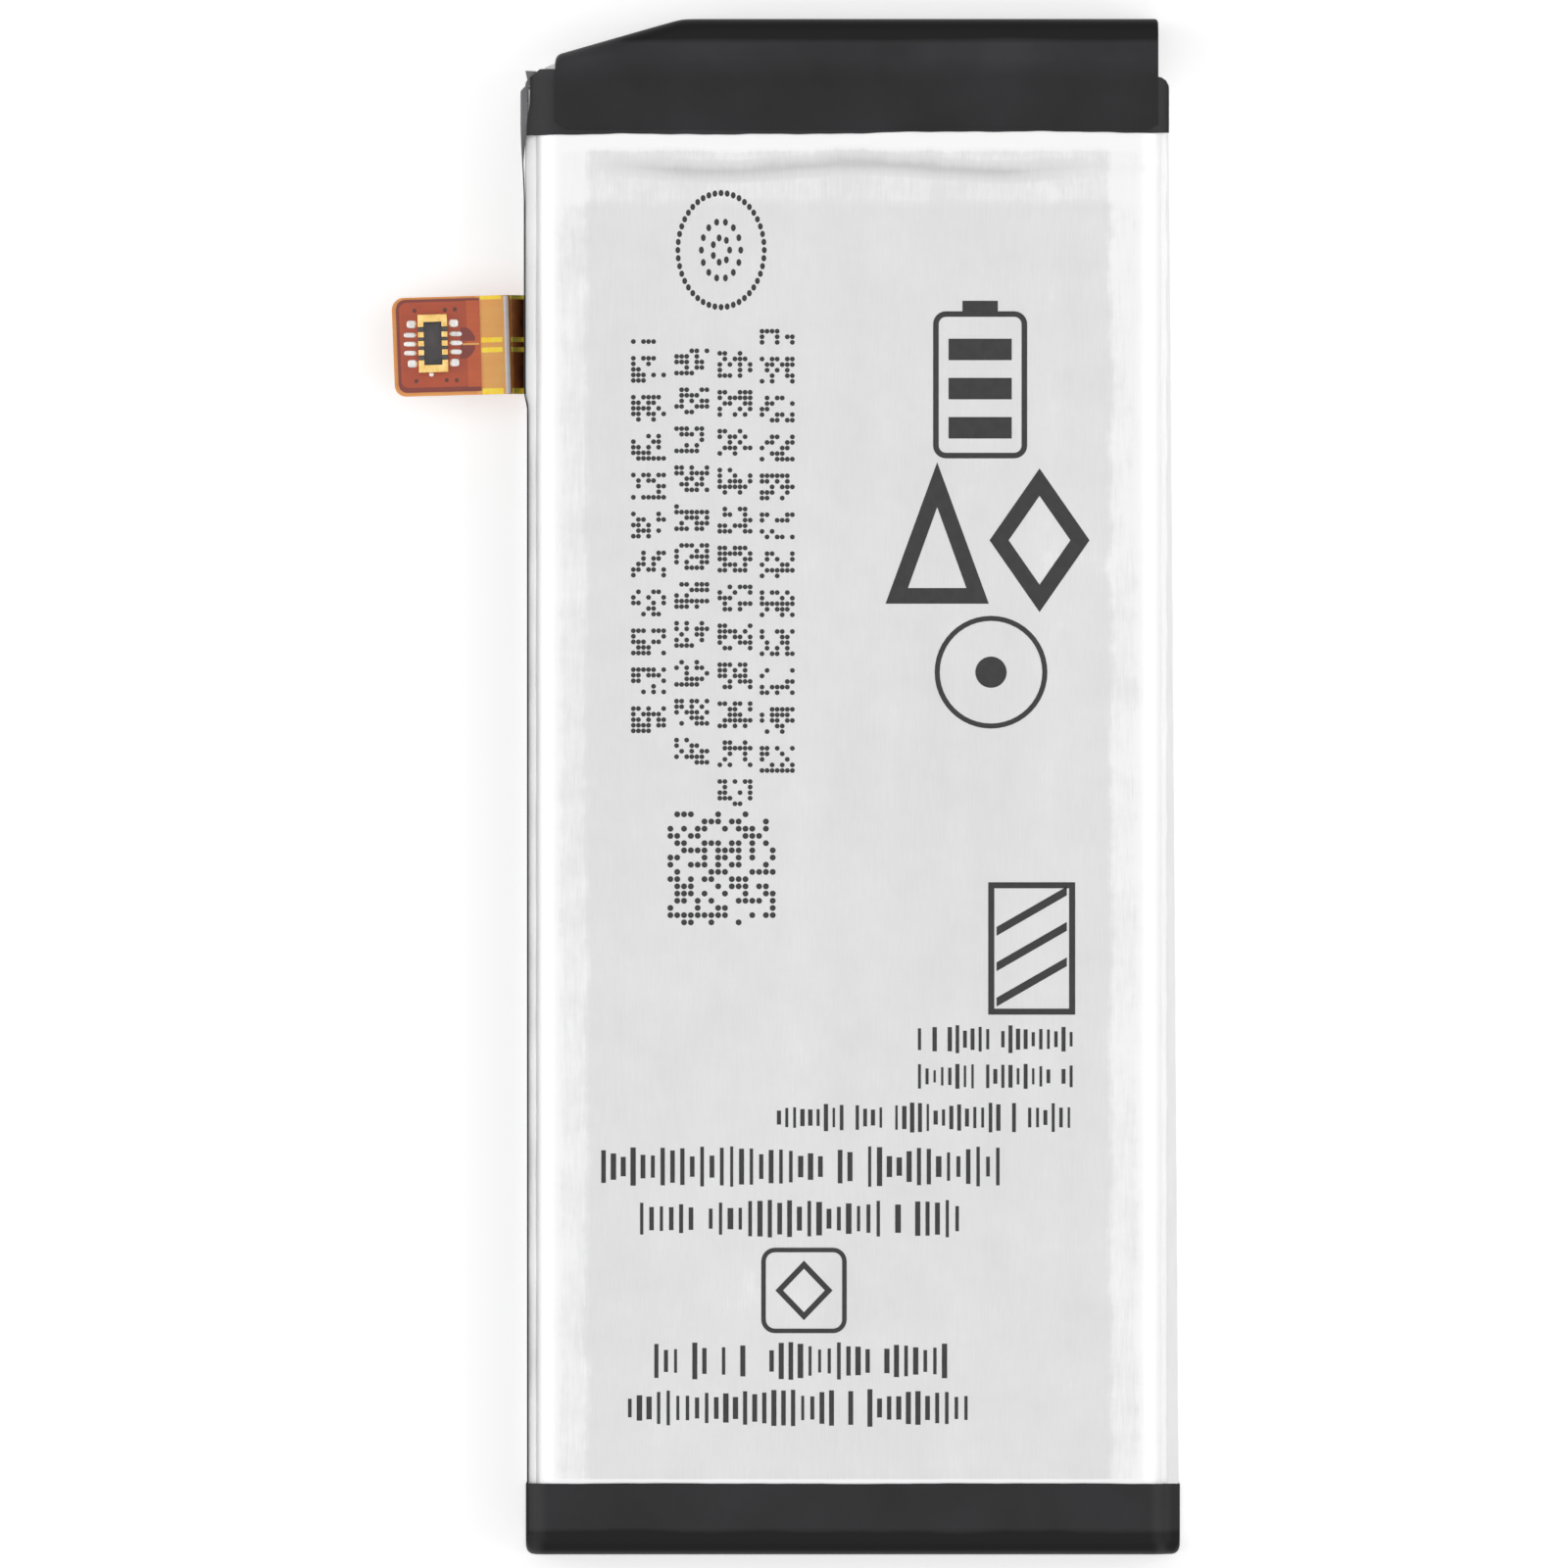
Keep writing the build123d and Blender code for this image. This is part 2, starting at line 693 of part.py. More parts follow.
with BuildPart() as connector_housing:
    with BuildSketch(connector_plane(housing_low)):
        RectangleRounded(housing_width, housing_length, housing_corner)
    extrude(amount=housing_height)
    with BuildSketch(connector_plane(housing_top)):
        Rectangle(recess_width, recess_length)
    extrude(amount=-recess_depth, mode=Mode.SUBTRACT)
    for contact_side, contact_row in contact_keys:
        add(signal_contact(contact_side, contact_row, slip), mode=Mode.SUBTRACT)
    for contact_end in (-1, 1):
        add(power_contact(contact_end, slip), mode=Mode.SUBTRACT)
finish("connector_housing", connector_housing.part)

# places of the solder joints: near end, far end and width span of each foot
power_foot_low = housing_length / 2 - power_band - power_leg
joint_start = housing_width / 2 + 0.08
foot_joints = [(foot_end, row - foot_width / 2, row + foot_width / 2) for row in contact_rows]
power_joint_end = housing_width / 2 + power_foot
power_joint_high = power_foot_low + power_foot_width
foot_joints.append((power_joint_end, power_foot_low, power_joint_high))
foot_joints.append((power_joint_end, -power_joint_high, -power_foot_low))


def joint_blocks(margin, z_low, z_high):
    """A block over the outer part of every foot, on both sides of the connector."""
    with BuildPart() as blocks:
        with BuildSketch(connector_plane(z_low)):
            for side in (-1, 1):
                for far, low, high in foot_joints:
                    middle_x = side * (joint_start + far) / 2
                    with Locations((middle_x, (low + high) / 2)):
                        Rectangle(far - joint_start + 2 * margin, high - low + 2 * margin)
        extrude(amount=z_high - z_low)
    return blocks.part


with BuildPart() as connector_solder:
    add(joint_blocks(solder_margin, coverlay_top, coverlay_top + solder_height))
    add(signal_contacts.part, mode=Mode.SUBTRACT)
    add(power_contacts.part, mode=Mode.SUBTRACT)
finish("connector_solder", connector_solder.part)

with BuildPart() as tail_land:
    add(tail_sheet(coverlay_top, land_thickness, land_start, land_border))
    with BuildSketch(connector_plane(coverlay_top)):
        window_width = housing_width + 2 * slip
        Rectangle(window_width, housing_length + 2 * slip)
        for row_place in contact_rows:
            with Locations((0, row_place)):
                Rectangle(2 * (foot_end + solder_margin + slip), foot_width + 2 * (solder_margin + slip))
        for row_place in (-1, 1):
            middle = row_place * (power_foot_low + power_joint_high) / 2
            with Locations((0, middle)):
                Rectangle(
                    2 * (power_joint_end + solder_margin + slip),
                    power_foot_width + 2 * (solder_margin + slip),
                )
    extrude(amount=land_thickness, mode=Mode.SUBTRACT)
finish("tail_land", tail_land.part)

# ---------------------------------------------------------------- black tapes
tape_step = tape + slip
lean_run = cup_high - flap_low
lower_wrap_low = pack_top - lower_wrap_reach
panel_inside = flap_outside + flap_lean * lower_wrap_reach / lean_run + slip
shelf_low = flap_top + slip
far_x = 2 * half_width

with BuildPart() as tape_top_lower:
    add(cup_block(-tape_step))
    add(cup_block(-slip), mode=Mode.SUBTRACT)
    add(
        plate((lower_wrap_left, far_x), (lower_wrap_low, pack_top), (insulator_z, cup_top + 1)),
        mode=Mode.INTERSECT,
    )
    add(plate((half_width, far_x), (lower_wrap_low, cup_high + slip), (0, shelf_low)), mode=Mode.SUBTRACT)
    add(plate((half_width, panel_inside + tape), (lower_wrap_low, cup_high), (shelf_low, shelf_low + tape)))
    add(plate((panel_inside, panel_inside + tape), (lower_wrap_low, cup_high), (0, shelf_low + tape)))
finish("tape_top_lower", tape_top_lower.part)

def wrap_outline(inset, overrun):
    """Plan of the upper wrap; overrun carries the inside past the open left end and the foot."""
    top = pack_top - inset
    left = upper_wrap_left - overrun
    foot = pack_top - upper_wrap_reach - overrun
    slant_x = upper_slant_end + inset * (slant_stretch - 1) / slant_slope
    slant_y = slant_line(left) - inset * slant_stretch
    right = upper_wrap_right - inset
    outline = [(left, foot), (left, slant_y), (slant_x, top), (right, top)]
    if overrun:
        step = cup_high + tape_step
        outline += [(right, step), (right + overrun, step), (right + overrun, foot)]
    else:
        outline.append((right, foot))
    return outline


def wrap_block(inset, overrun):
    """Upper wrap's outer form, or the form of its inside."""
    grow = 2 * tape_step - inset
    foot = pack_top - upper_wrap_reach - overrun
    with BuildPart() as block:
        add(
            drawn_block(
                (-half_width - side_radius - overrun, half_width + grow),
                (foot, pack_top - inset),
                (-tape_step + inset, cup_top + grow),
                side_radius + grow,
                upper_end_radius - inset,
                corner_radius - inset,
            )
        )
        with BuildSketch(Plane.XY.offset(-2 * tape_step)):
            with BuildLine():
                Polyline(*wrap_outline(inset, overrun), close=True)
            make_face()
        extrude(amount=2 * cup_top, mode=Mode.INTERSECT)
    return block.part


with BuildPart() as tape_top_upper:
    add(wrap_block(0, 0))
    add(wrap_block(tape, 1.0), mode=Mode.SUBTRACT)
finish("tape_top_upper", tape_top_upper.part)

side_outer = wall_x - strip_thickness / 2 - slip - tape / 2
side_inner = -(flap_outside + slip + tape / 2)
side_route = [
    (side_outer, cup_high - 0.1),
    (side_outer, tail_low_y - 0.3),
    (side_inner, tail_low_y - 1.0),
    (side_inner, flap_low + slip),
]
with BuildPart() as tape_side:
    side_plane = Plane.XY.offset(side_tape_low)
    add(bent_strip(side_plane, side_route, strip_bend, tape, side_tape_high - side_tape_low))
    with BuildSketch(Plane.YZ.offset(side_outer - tape)):
        with Locations((tail_y, (side_tape_low + notch_high) / 2)):
            Rectangle(tail_width + 2 * notch_margin, notch_high - side_tape_low)
    extrude(amount=2 * tape, mode=Mode.SUBTRACT)
finish("tape_side", tape_side.part)


def cap_block(inset, overrun):
    """Bottom cap's outer form, or the form of its inside."""
    return drawn_block(
        (side_inner - tape / 2 - tape_step + inset, flap_outside + flap_lean + tape_step - inset),
        (pack_bottom + inset, pack_bottom + bottom_cap_reach + overrun),
        (-tape_step + inset, cup_top + tape_step - inset),
        bottom_cap_radius - inset,
        end_radius - inset,
        corner_radius - inset,
    )


with BuildPart() as tape_bottom:
    add(cap_block(0, 0))
    add(cap_block(tape, 2.0), mode=Mode.SUBTRACT)
    add(
        plate((-far_x, far_x), (pack_bottom, pack_bottom + bottom_cap_reach), (-1, cup_top + 1)),
        mode=Mode.INTERSECT,
    )
finish("tape_bottom", tape_bottom.part)
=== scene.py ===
# %% [markdown]
# # Soft-pouch battery pack
# A thin lithium cell in a silver laminate pouch. Black tape caps close both ends, a folded side
# seal stands up along each long side, and a short flexible circuit with a small board-to-board
# connector comes out at the left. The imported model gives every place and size; this script
# makes the surfaces: drawn foil, tape film, printed ink, polyimide, copper and solder.

import math

import bmesh
import bpy
import numpy as np
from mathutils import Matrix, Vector


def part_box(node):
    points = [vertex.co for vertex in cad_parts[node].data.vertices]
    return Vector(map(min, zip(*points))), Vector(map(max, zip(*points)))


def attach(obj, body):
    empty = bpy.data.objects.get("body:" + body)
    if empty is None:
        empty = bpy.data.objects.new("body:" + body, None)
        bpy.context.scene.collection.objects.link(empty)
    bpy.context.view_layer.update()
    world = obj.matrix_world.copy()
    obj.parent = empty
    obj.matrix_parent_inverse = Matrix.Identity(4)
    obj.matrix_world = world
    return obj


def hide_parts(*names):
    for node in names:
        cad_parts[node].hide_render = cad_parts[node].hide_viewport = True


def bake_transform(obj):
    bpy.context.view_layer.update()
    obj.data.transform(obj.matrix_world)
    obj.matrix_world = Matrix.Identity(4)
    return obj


MM = 0.001
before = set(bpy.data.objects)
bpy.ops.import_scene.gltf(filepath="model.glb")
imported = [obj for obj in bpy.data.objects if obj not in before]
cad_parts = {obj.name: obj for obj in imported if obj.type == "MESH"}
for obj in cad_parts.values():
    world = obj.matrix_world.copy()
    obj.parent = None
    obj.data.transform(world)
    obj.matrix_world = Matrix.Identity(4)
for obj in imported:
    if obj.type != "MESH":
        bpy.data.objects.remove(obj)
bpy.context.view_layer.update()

# %% [markdown]
# Everything below is in millimetres until a mesh is made, so small helpers do the change: one
# reads a CAD node's box in millimetres, and one turns lists of points and faces into an object
# whose place is in its mesh and whose faces point outwards. Sheets, flat prisms and stacks of
# rings come back often, so the faces of each kind are listed by a helper too.

# %% helpers for sizes and meshes
def span(node):
    """Lowest and highest corner of a CAD node, in millimetres."""
    low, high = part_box(node)
    return np.array(low) / MM, np.array(high) / MM


def add_object(name, data):
    """Object in the scene for a mesh, a lamp or a camera."""
    made = bpy.data.objects.new(name, data)
    bpy.context.scene.collection.objects.link(made)
    return made


def mesh_object(name, points, faces, material, smooth=True):
    """Object from points in millimetres, with its normals turned outwards."""
    mesh = bpy.data.meshes.new(name)
    mesh.from_pydata([tuple(np.array(p, float) * MM) for p in points], [], faces)
    work = bmesh.new()
    work.from_mesh(mesh)
    bmesh.ops.remove_doubles(work, verts=work.verts, dist=1e-8)
    bmesh.ops.recalc_face_normals(work, faces=work.faces)
    work.to_mesh(mesh)
    work.free()
    mesh.materials.append(material)
    for face in mesh.polygons:
        face.use_smooth = smooth
    if smooth:
        mesh.set_sharp_from_angle(angle=math.radians(40))
    return add_object(name, mesh)


def grid_faces(rows, columns, closed=False):
    """Quads of a grid of points stored row by row; closed joins the last column to the first."""
    faces = []
    for r in range(rows - 1):
        for c in range(columns if closed else columns - 1):
            d = (c + 1) % columns
            faces.append((r * columns + c, r * columns + d, (r + 1) * columns + d, (r + 1) * columns + c))
    return faces


def prism_faces(start, n):
    """Faces of a flat prism: n points round one end from start, then n round the other."""
    ends = [tuple(start + i for i in range(n)), tuple(start + n + i for i in reversed(range(n)))]
    return ends + [(start + i, start + (i + 1) % n, start + n + (i + 1) % n, start + n + i) for i in range(n)]


def stack_faces(start, rings, around):
    """Faces of a closed stack of rings, each with the same number of points."""
    faces = [tuple(start + i for i in face) for face in grid_faces(rings, around, closed=True)]
    faces.append(tuple(start + k for k in reversed(range(around))))
    faces.append(tuple(start + (rings - 1) * around + k for k in range(around)))
    return faces


def shell(name, outside, inside, material, smooth=True):
    """Closed sheet between two grids of the same size."""
    rows, columns = outside.shape[:2]
    points = np.concatenate([outside.reshape(-1, 3), inside.reshape(-1, 3)])
    offset = rows * columns
    faces = grid_faces(rows, columns)
    faces += [tuple(offset + i for i in reversed(f)) for f in grid_faces(rows, columns)]
    rim = [r * columns for r in range(rows)]
    rim += [(rows - 1) * columns + c for c in range(1, columns)]
    rim += [r * columns + columns - 1 for r in range(rows - 2, -1, -1)]
    rim += [c for c in range(columns - 2, 0, -1)]
    for i, a in enumerate(rim):
        b = rim[(i + 1) % len(rim)]
        faces.append((a, b, offset + b, offset + a))
    return mesh_object(name, points, faces, material, smooth)


def plain_mesh(made):
    """Turn an object with a modifier into one plain mesh."""
    bpy.context.view_layer.update()
    evaluated = made.evaluated_get(bpy.context.evaluated_depsgraph_get())
    mesh = bpy.data.meshes.new_from_object(evaluated)
    made.modifiers.clear()
    made.data = mesh
    return mesh


def report(made):
    """Print a piece's size and triangle count."""
    low = np.array(made.bound_box).min(0) / MM
    high = np.array(made.bound_box).max(0) / MM
    made.data.calc_loop_triangles()
    print(made.name, "mm", np.round(high - low, 2), "triangles", len(made.data.loop_triangles))


def smoothstep(low, high, value):
    t = np.clip((np.asarray(value, float) - low) / (high - low), 0, 1)
    return t * t * (3 - 2 * t)


def bump_line(value, centre, width):
    """A soft ridge of height 1 at centre, falling away over width."""
    return np.exp(-((np.asarray(value, float) - centre) / width) ** 2)


print("helpers ready; one millimetre is", MM, "m")

# %% [markdown]
# Each finish is a node material on Object coordinates, which are metres from the origin of the
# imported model. Noise scales are therefore per metre: 1000 is a feature of about one millimetre.
# A helper keeps the wiring short; the bump strength is what a fingertip would just feel.

# %% helper for materials
def add_node(tree, kind, links=None, **settings):
    """Node in a tree, its settings, and its inputs by name: a socket is linked, a value is set."""
    made = tree.nodes.new(kind)
    for key, value in settings.items():
        setattr(made, key, value)
    for socket, value in (links or {}).items():
        if isinstance(value, bpy.types.NodeSocket):
            tree.links.new(value, made.inputs[socket])
        else:
            made.inputs[socket].default_value = value
    return made


class Finish:
    """One Principled material and short calls that wire its nodes."""

    def __init__(self, name, roughness, metallic=0.0, specular=0.5, **sockets):
        self.material = bpy.data.materials.new(name)
        self.material.use_nodes = True
        self.tree = self.material.node_tree
        self.shader = self.tree.nodes["Principled BSDF"]
        self.shader.inputs["Roughness"].default_value = roughness
        self.shader.inputs["Metallic"].default_value = metallic
        self.shader.inputs["Specular IOR Level"].default_value = specular
        for socket, value in sockets.items():
            self.shader.inputs[socket.replace("_", " ")].default_value = value
        self.place = self.node("ShaderNodeTexCoord").outputs["Object"]

    def node(self, kind, links=None, **settings):
        return add_node(self.tree, kind, links, **settings)

    def axes(self):
        """X, Y and Z of a place on the object, as separate values in metres."""
        return self.node("ShaderNodeSeparateXYZ", {"Vector": self.place}).outputs

    def between(self, value, low, high, start=0.0, end=1.0):
        """Start where a length is low millimetres, end where it is high, and a blend between."""
        limits = {"From Min": low * MM, "From Max": high * MM, "To Min": start, "To Max": end}
        return self.node("ShaderNodeMapRange", {"Value": value, **limits}).outputs[0]

    def stretched(self, x, y, z):
        """Object coordinates scaled along each axis, for streaks and brushed grain."""
        return self.node("ShaderNodeMapping", {"Vector": self.place, "Scale": (x, y, z)}).outputs["Vector"]

    def noise(self, scale, detail=3.0, place=None, roughness=0.5):
        links = {"Vector": place or self.place, "Scale": scale, "Detail": detail, "Roughness": roughness}
        return self.node("ShaderNodeTexNoise", links).outputs["Fac"]

    def math(self, operation, a, b=0.0):
        return self.node("ShaderNodeMath", {0: a, 1: b}, operation=operation).outputs[0]

    def times(self, a, b):
        return self.math("MULTIPLY", a, b)

    def add(self, tone, value, share):
        """Tone with a share of another value on top."""
        return self.math("ADD", tone, self.times(value, share))

    def colour(self, tone, *stops):
        """Base colour along a tone; stops are (place, (r, g, b) on screen) pairs."""
        made = self.node("ShaderNodeValToRGB", {"Fac": tone})
        while len(made.color_ramp.elements) < len(stops):
            made.color_ramp.elements.new(0.5)
        for element, (at, shade) in zip(made.color_ramp.elements, stops):
            element.position = at
            element.color = (*screen(*shade), 1)
        self.tree.links.new(made.outputs["Color"], self.shader.inputs["Base Color"])

    def rough(self, value, share, least):
        """Roughness that goes up from the least with a share of a value."""
        uneven = self.math("ADD", self.times(value, share), least)
        self.tree.links.new(uneven, self.shader.inputs["Roughness"])

    def bump(self, height, strength, distance):
        """Fine relief; the distance is in millimetres."""
        links = {"Height": height, "Strength": strength, "Distance": distance * MM}
        made = self.node("ShaderNodeBump", links)
        self.tree.links.new(made.outputs["Normal"], self.shader.inputs["Normal"])


def screen(*colour):
    """A screen colour, 0 to 255, as the linear colour that a shader takes."""
    return tuple(((c / 255 + 0.055) / 1.055) ** 2.4 if c > 10 else c / 255 / 12.92 for c in colour)


print("mid grey on screen is", round(screen(128)[0], 3), "in a shader")

# %% [markdown]
# The pouch is aluminium foil between plastic films. Its outside is matt silver with a fine
# grain that runs along the cell, a faint mottle where the flat face has been pressed on the
# winding, and a few broad bands of slightly different silver. The metal share is part, not
# full, because the clear nylon skin over the foil scatters light as well as mirroring it.

# %% foil finish
# Painted light on the face's colour: painted highlights on the rounded shoulders, on the margins past the
# pressed panel and on the foil beside both tape caps; painted shade along the wave near the top tape.
panel_side_highlight, shoulder_highlight = (10.2, 10.5), (11.3, 11.8)
panel_head_highlight, tape_edge_highlight, foot_edge_highlight = (22.9, 23.3), (25.1, 25.5), (-27.37, -27.45)
wave_y, wave_half, wave_sway = 24.50, 0.50, 0.16 * MM
wave_rate, wave_phase = 561, 2.917


def painted_panel_light(finish, tone, mottle):
    """Painted light on the face: painted highlights past the panel's sides and head, on the shoulders and
    beside both tapes, and painted shade in the wave near the top tape.
    """
    axes = finish.axes()
    x, y = axes["X"], axes["Y"]
    wander = finish.times(finish.math("SUBTRACT", mottle, 0.5), 0.6 * MM)
    side = finish.math("ADD", finish.math("ABSOLUTE", x), wander)
    near = finish.add(y, wander, 0.5)
    # each lift is a painted highlight: panel margins, shoulders, foil beside the bottom cap and below the top
    # tape
    for place, limits, lift in (
        (side, panel_side_highlight, 0.20),
        (side, shoulder_highlight, 0.32),
        (y, foot_edge_highlight, 0.60),
        (near, panel_head_highlight, 0.14),
        (near, tape_edge_highlight, 0.60),
    ):
        tone = finish.add(tone, finish.between(place, *limits), lift)
    # painted shade along the wave near the top tape
    turn = finish.math("ADD", finish.times(x, wave_rate), wave_phase)
    sway = finish.times(finish.math("COSINE", turn), wave_sway)
    off = finish.math("ADD", finish.math("SUBTRACT", near, wave_y * MM), sway)
    wave_shade = finish.between(finish.math("ABSOLUTE", off), 0.0, wave_half, 1.0, 0.0)
    reach = finish.times(finish.between(x, -10.5, -6.5), finish.between(x, 9.5, 6.0, 0.2))
    return finish.math("SUBTRACT", tone, finish.times(finish.times(wave_shade, reach), 0.60))


def foil_material(name, low, high, panel):
    finish = Finish(name, 0.42, metallic=0.25, specular=0.35)
    grain = finish.noise(1.0, 4, finish.stretched(16000, 900, 16000), 0.6)
    mottle = finish.noise(420, 5, None, 0.62)
    bands = finish.noise(1.0, 2, finish.stretched(420, 22, 420))
    tone = finish.math("ADD", finish.times(grain, 0.30), finish.times(mottle, 0.42))
    tone = finish.add(tone, bands, 0.28)
    if panel:
        # painted highlights and painted shade on the face
        tone = painted_panel_light(finish, tone, mottle)
    greys = ((0.06, 206), (0.30, low), (0.58, high), (0.78, 250), (1.0, 255))
    finish.colour(tone, *((at, (grey,) * 3) for at, grey in greys))
    finish.rough(mottle, 0.16, 0.36)
    finish.bump(finish.math("ADD", finish.times(grain, 0.5), finish.times(mottle, 0.8)), 0.35, 0.012)
    return finish.material


foil = foil_material("foil", 223, 233, True)
foil_fold = foil_material("foil_fold", 232, 244, False)
print("foil finishes", foil.name, foil_fold.name)

# %% [markdown]
# The black tape is thin polyester film with a low sheen and a very fine tooth. Its colour also
# carries painted light: a painted grey sheen on the tape over the board, and painted shade
# where the film turns round the pack's two ends.

# %% tape finish
def tape_material(name, low, high):
    finish = Finish(name, 0.5, specular=0.15)
    cloud = finish.noise(260, 4)
    tooth = finish.noise(9000, 2)
    y = finish.axes()["Y"]
    # painted shade where the film turns round the pack's two ends
    end_shade = finish.math("MAXIMUM", finish.between(y, 29.4, 29.7), finish.between(y, -29.3, -29.8))
    # painted grey sheen on the film over the board
    painted_sheen = finish.between(y, 28.0, 28.8)
    tone = finish.add(finish.math("SUBTRACT", cloud, finish.times(end_shade, 1.1)), painted_sheen, 0.30)
    dark = tuple(c * 0.35 for c in low)
    light = tuple(min(255, c * 1.28) for c in high)
    finish.colour(tone, (0.0, dark), (0.3, low), (0.7, high), (1.0, light))
    finish.rough(cloud, 0.14, 0.40)
    finish.bump(finish.math("ADD", finish.times(tooth, 0.25), cloud), 0.3, 0.02)
    return finish.material


def side_film_material():
    """Side tape: dark along most of its length, turning lighter grey towards its wide end at the board end.
    """
    finish = Finish("side_film", 0.5, specular=0.2)
    cloud = finish.noise(260, 4)
    towards_board_end = finish.between(finish.axes()["Y"], 23.6, 26.2)
    tone = finish.math("ADD", finish.times(cloud, 0.3), finish.times(towards_board_end, 0.7))
    finish.colour(tone, (0.0, (58, 58, 60)), (0.3, (66, 66, 68)), (1.0, (140, 140, 142)))
    finish.bump(finish.add(cloud, finish.noise(9000, 2), 0.25), 0.3, 0.02)
    return finish.material


black_film = tape_material("black_film", (36, 36, 37), (48, 48, 50))
band_film = tape_material("band_film", (46, 46, 47), (60, 60, 62))
cap_film = tape_material("cap_film", (42, 42, 43), (52, 52, 54))
side_film = side_film_material()
print("tape finishes", [m.name for m in (black_film, band_film, cap_film, side_film)])

# %% [markdown]
# Polyimide is the amber plastic of flexible circuits: clear orange, glossy, a little darker
# where it is thick. The copper under it shows as brighter gold stripes. The ribbon's pieces
# are separate sheets, so each has its own simple colour here.

# %% circuit finishes
def amber_material(name, low, high, roughness=0.28, coat=0.4):
    finish = Finish(name, roughness, specular=0.5, Coat_Weight=coat, Coat_Roughness=0.2)
    cloud = finish.noise(900, 4)
    streak = finish.noise(1.0, 3, finish.stretched(700, 5200, 700))
    tone = finish.math("ADD", finish.times(cloud, 0.6), finish.times(streak, 0.4))
    finish.colour(tone, (0.35, low), (0.65, high))
    finish.bump(cloud, 0.25, 0.01)
    return finish.material


def hook_material():
    """Amber film with painted shade: darker from the crease towards the wall, where shade falls beside the
    pouch.
    """
    finish = Finish("hook_painted_shade", 0.34, specular=0.5, Coat_Weight=0.25, Coat_Roughness=0.2)
    # painted shade: none near the crease, full at the wall
    wall_shade = finish.between(finish.axes()["X"], -13.48, -12.85)
    cloud = finish.times(finish.math("SUBTRACT", finish.noise(1800, 4), 0.5), 0.5)
    tone = finish.math("ADD", wall_shade, cloud)
    finish.colour(tone, (0.0, (248, 168, 104)), (0.4, (200, 118, 66)), (0.9, (104, 56, 38)))
    finish.bump(cloud, 0.25, 0.01)
    return finish.material


def metal_material(name, low, high, roughness, metallic=0.9):
    finish = Finish(name, roughness, metallic=metallic)
    cloud = finish.noise(2600, 4)
    grain = finish.noise(1.0, 3, finish.stretched(30000, 6000, 6000))
    tone = finish.math("ADD", finish.times(cloud, 0.6), finish.times(grain, 0.4))
    finish.colour(tone, (0.35, low), (0.65, high))
    finish.rough(cloud, 0.2, roughness - 0.08)
    finish.bump(cloud, 0.3, 0.008)
    return finish.material


def plastic_material(name, low, high, roughness, scale=1500, specular=0.4):
    finish = Finish(name, roughness, specular=specular)
    cloud = finish.noise(scale, 5)
    finish.colour(cloud, (0.35, low), (0.65, high))
    finish.rough(cloud, 0.16, roughness - 0.08)
    finish.bump(cloud, 0.3, 0.01)
    return finish.material


amber = amber_material("amber_film", (244, 156, 66), (255, 174, 84))
amber_strip = amber_material("amber_strip", (150, 84, 34), (176, 100, 40), coat=0.25)
brown_mask = amber_material("brown_mask", (178, 68, 30), (190, 78, 36), 0.34, 0.2)
coverlay = amber_material("coverlay", (255, 176, 84), (255, 190, 98), 0.3, 0.3)
# hook film colour carries painted shade, darker towards the wall
hook_painted_shade = hook_material()
# Near-white colour for the crease sheet: a painted highlight along the bend of the glossy film.
crease_highlight = amber_material("crease_highlight", (250, 238, 240), (255, 252, 252), 0.3, 0.3)
plum = amber_material("plum_pad", (124, 40, 28), (138, 48, 34), 0.34, 0.2)
via_brown = amber_material("via_brown", (82, 30, 20), (96, 38, 26), 0.4, 0.2)
mask_rim = amber_material("mask_rim", (122, 40, 30), (138, 50, 36), 0.34, 0.2)
mask_light = amber_material("mask_light_end", (200, 86, 38), (214, 98, 46), 0.34, 0.2)
stiff_amber = amber_material("stiffener_amber", (176, 108, 44), (196, 124, 54), 0.36, 0.2)
gold_copper = metal_material("gold_copper", (255, 208, 40), (255, 232, 84), 0.36, 0.25)
# A lighter copy of the copper gold for the hook's stripes: painted light that makes up for the shade beside
# the wall.
gold_hook_painted_light = metal_material("gold_hook_painted_light", (255, 232, 84), (255, 246, 120), 0.36, 0.1)
contact_gold = metal_material("contact_gold", (206, 164, 84), (238, 206, 138), 0.26, 0.7)
solder = metal_material("solder_alloy", (196, 194, 194), (236, 234, 232), 0.28, 0.6)
connector_plastic = plastic_material("connector_plastic", (78, 74, 78), (94, 90, 94), 0.5)
ink = plastic_material("printed_ink", (46, 46, 46), (56, 56, 56), 0.62, 2200)
print("finishes so far", len(bpy.data.materials))

# %% [markdown]
# Pieces inside the pack are seen only when it is opened or cut, but each still gets a finish
# of its own: graphite and oxide coats with a fine grain, frosted separator film, tab metals,
# green board, ceramic parts and paper. They keep their CAD shapes.

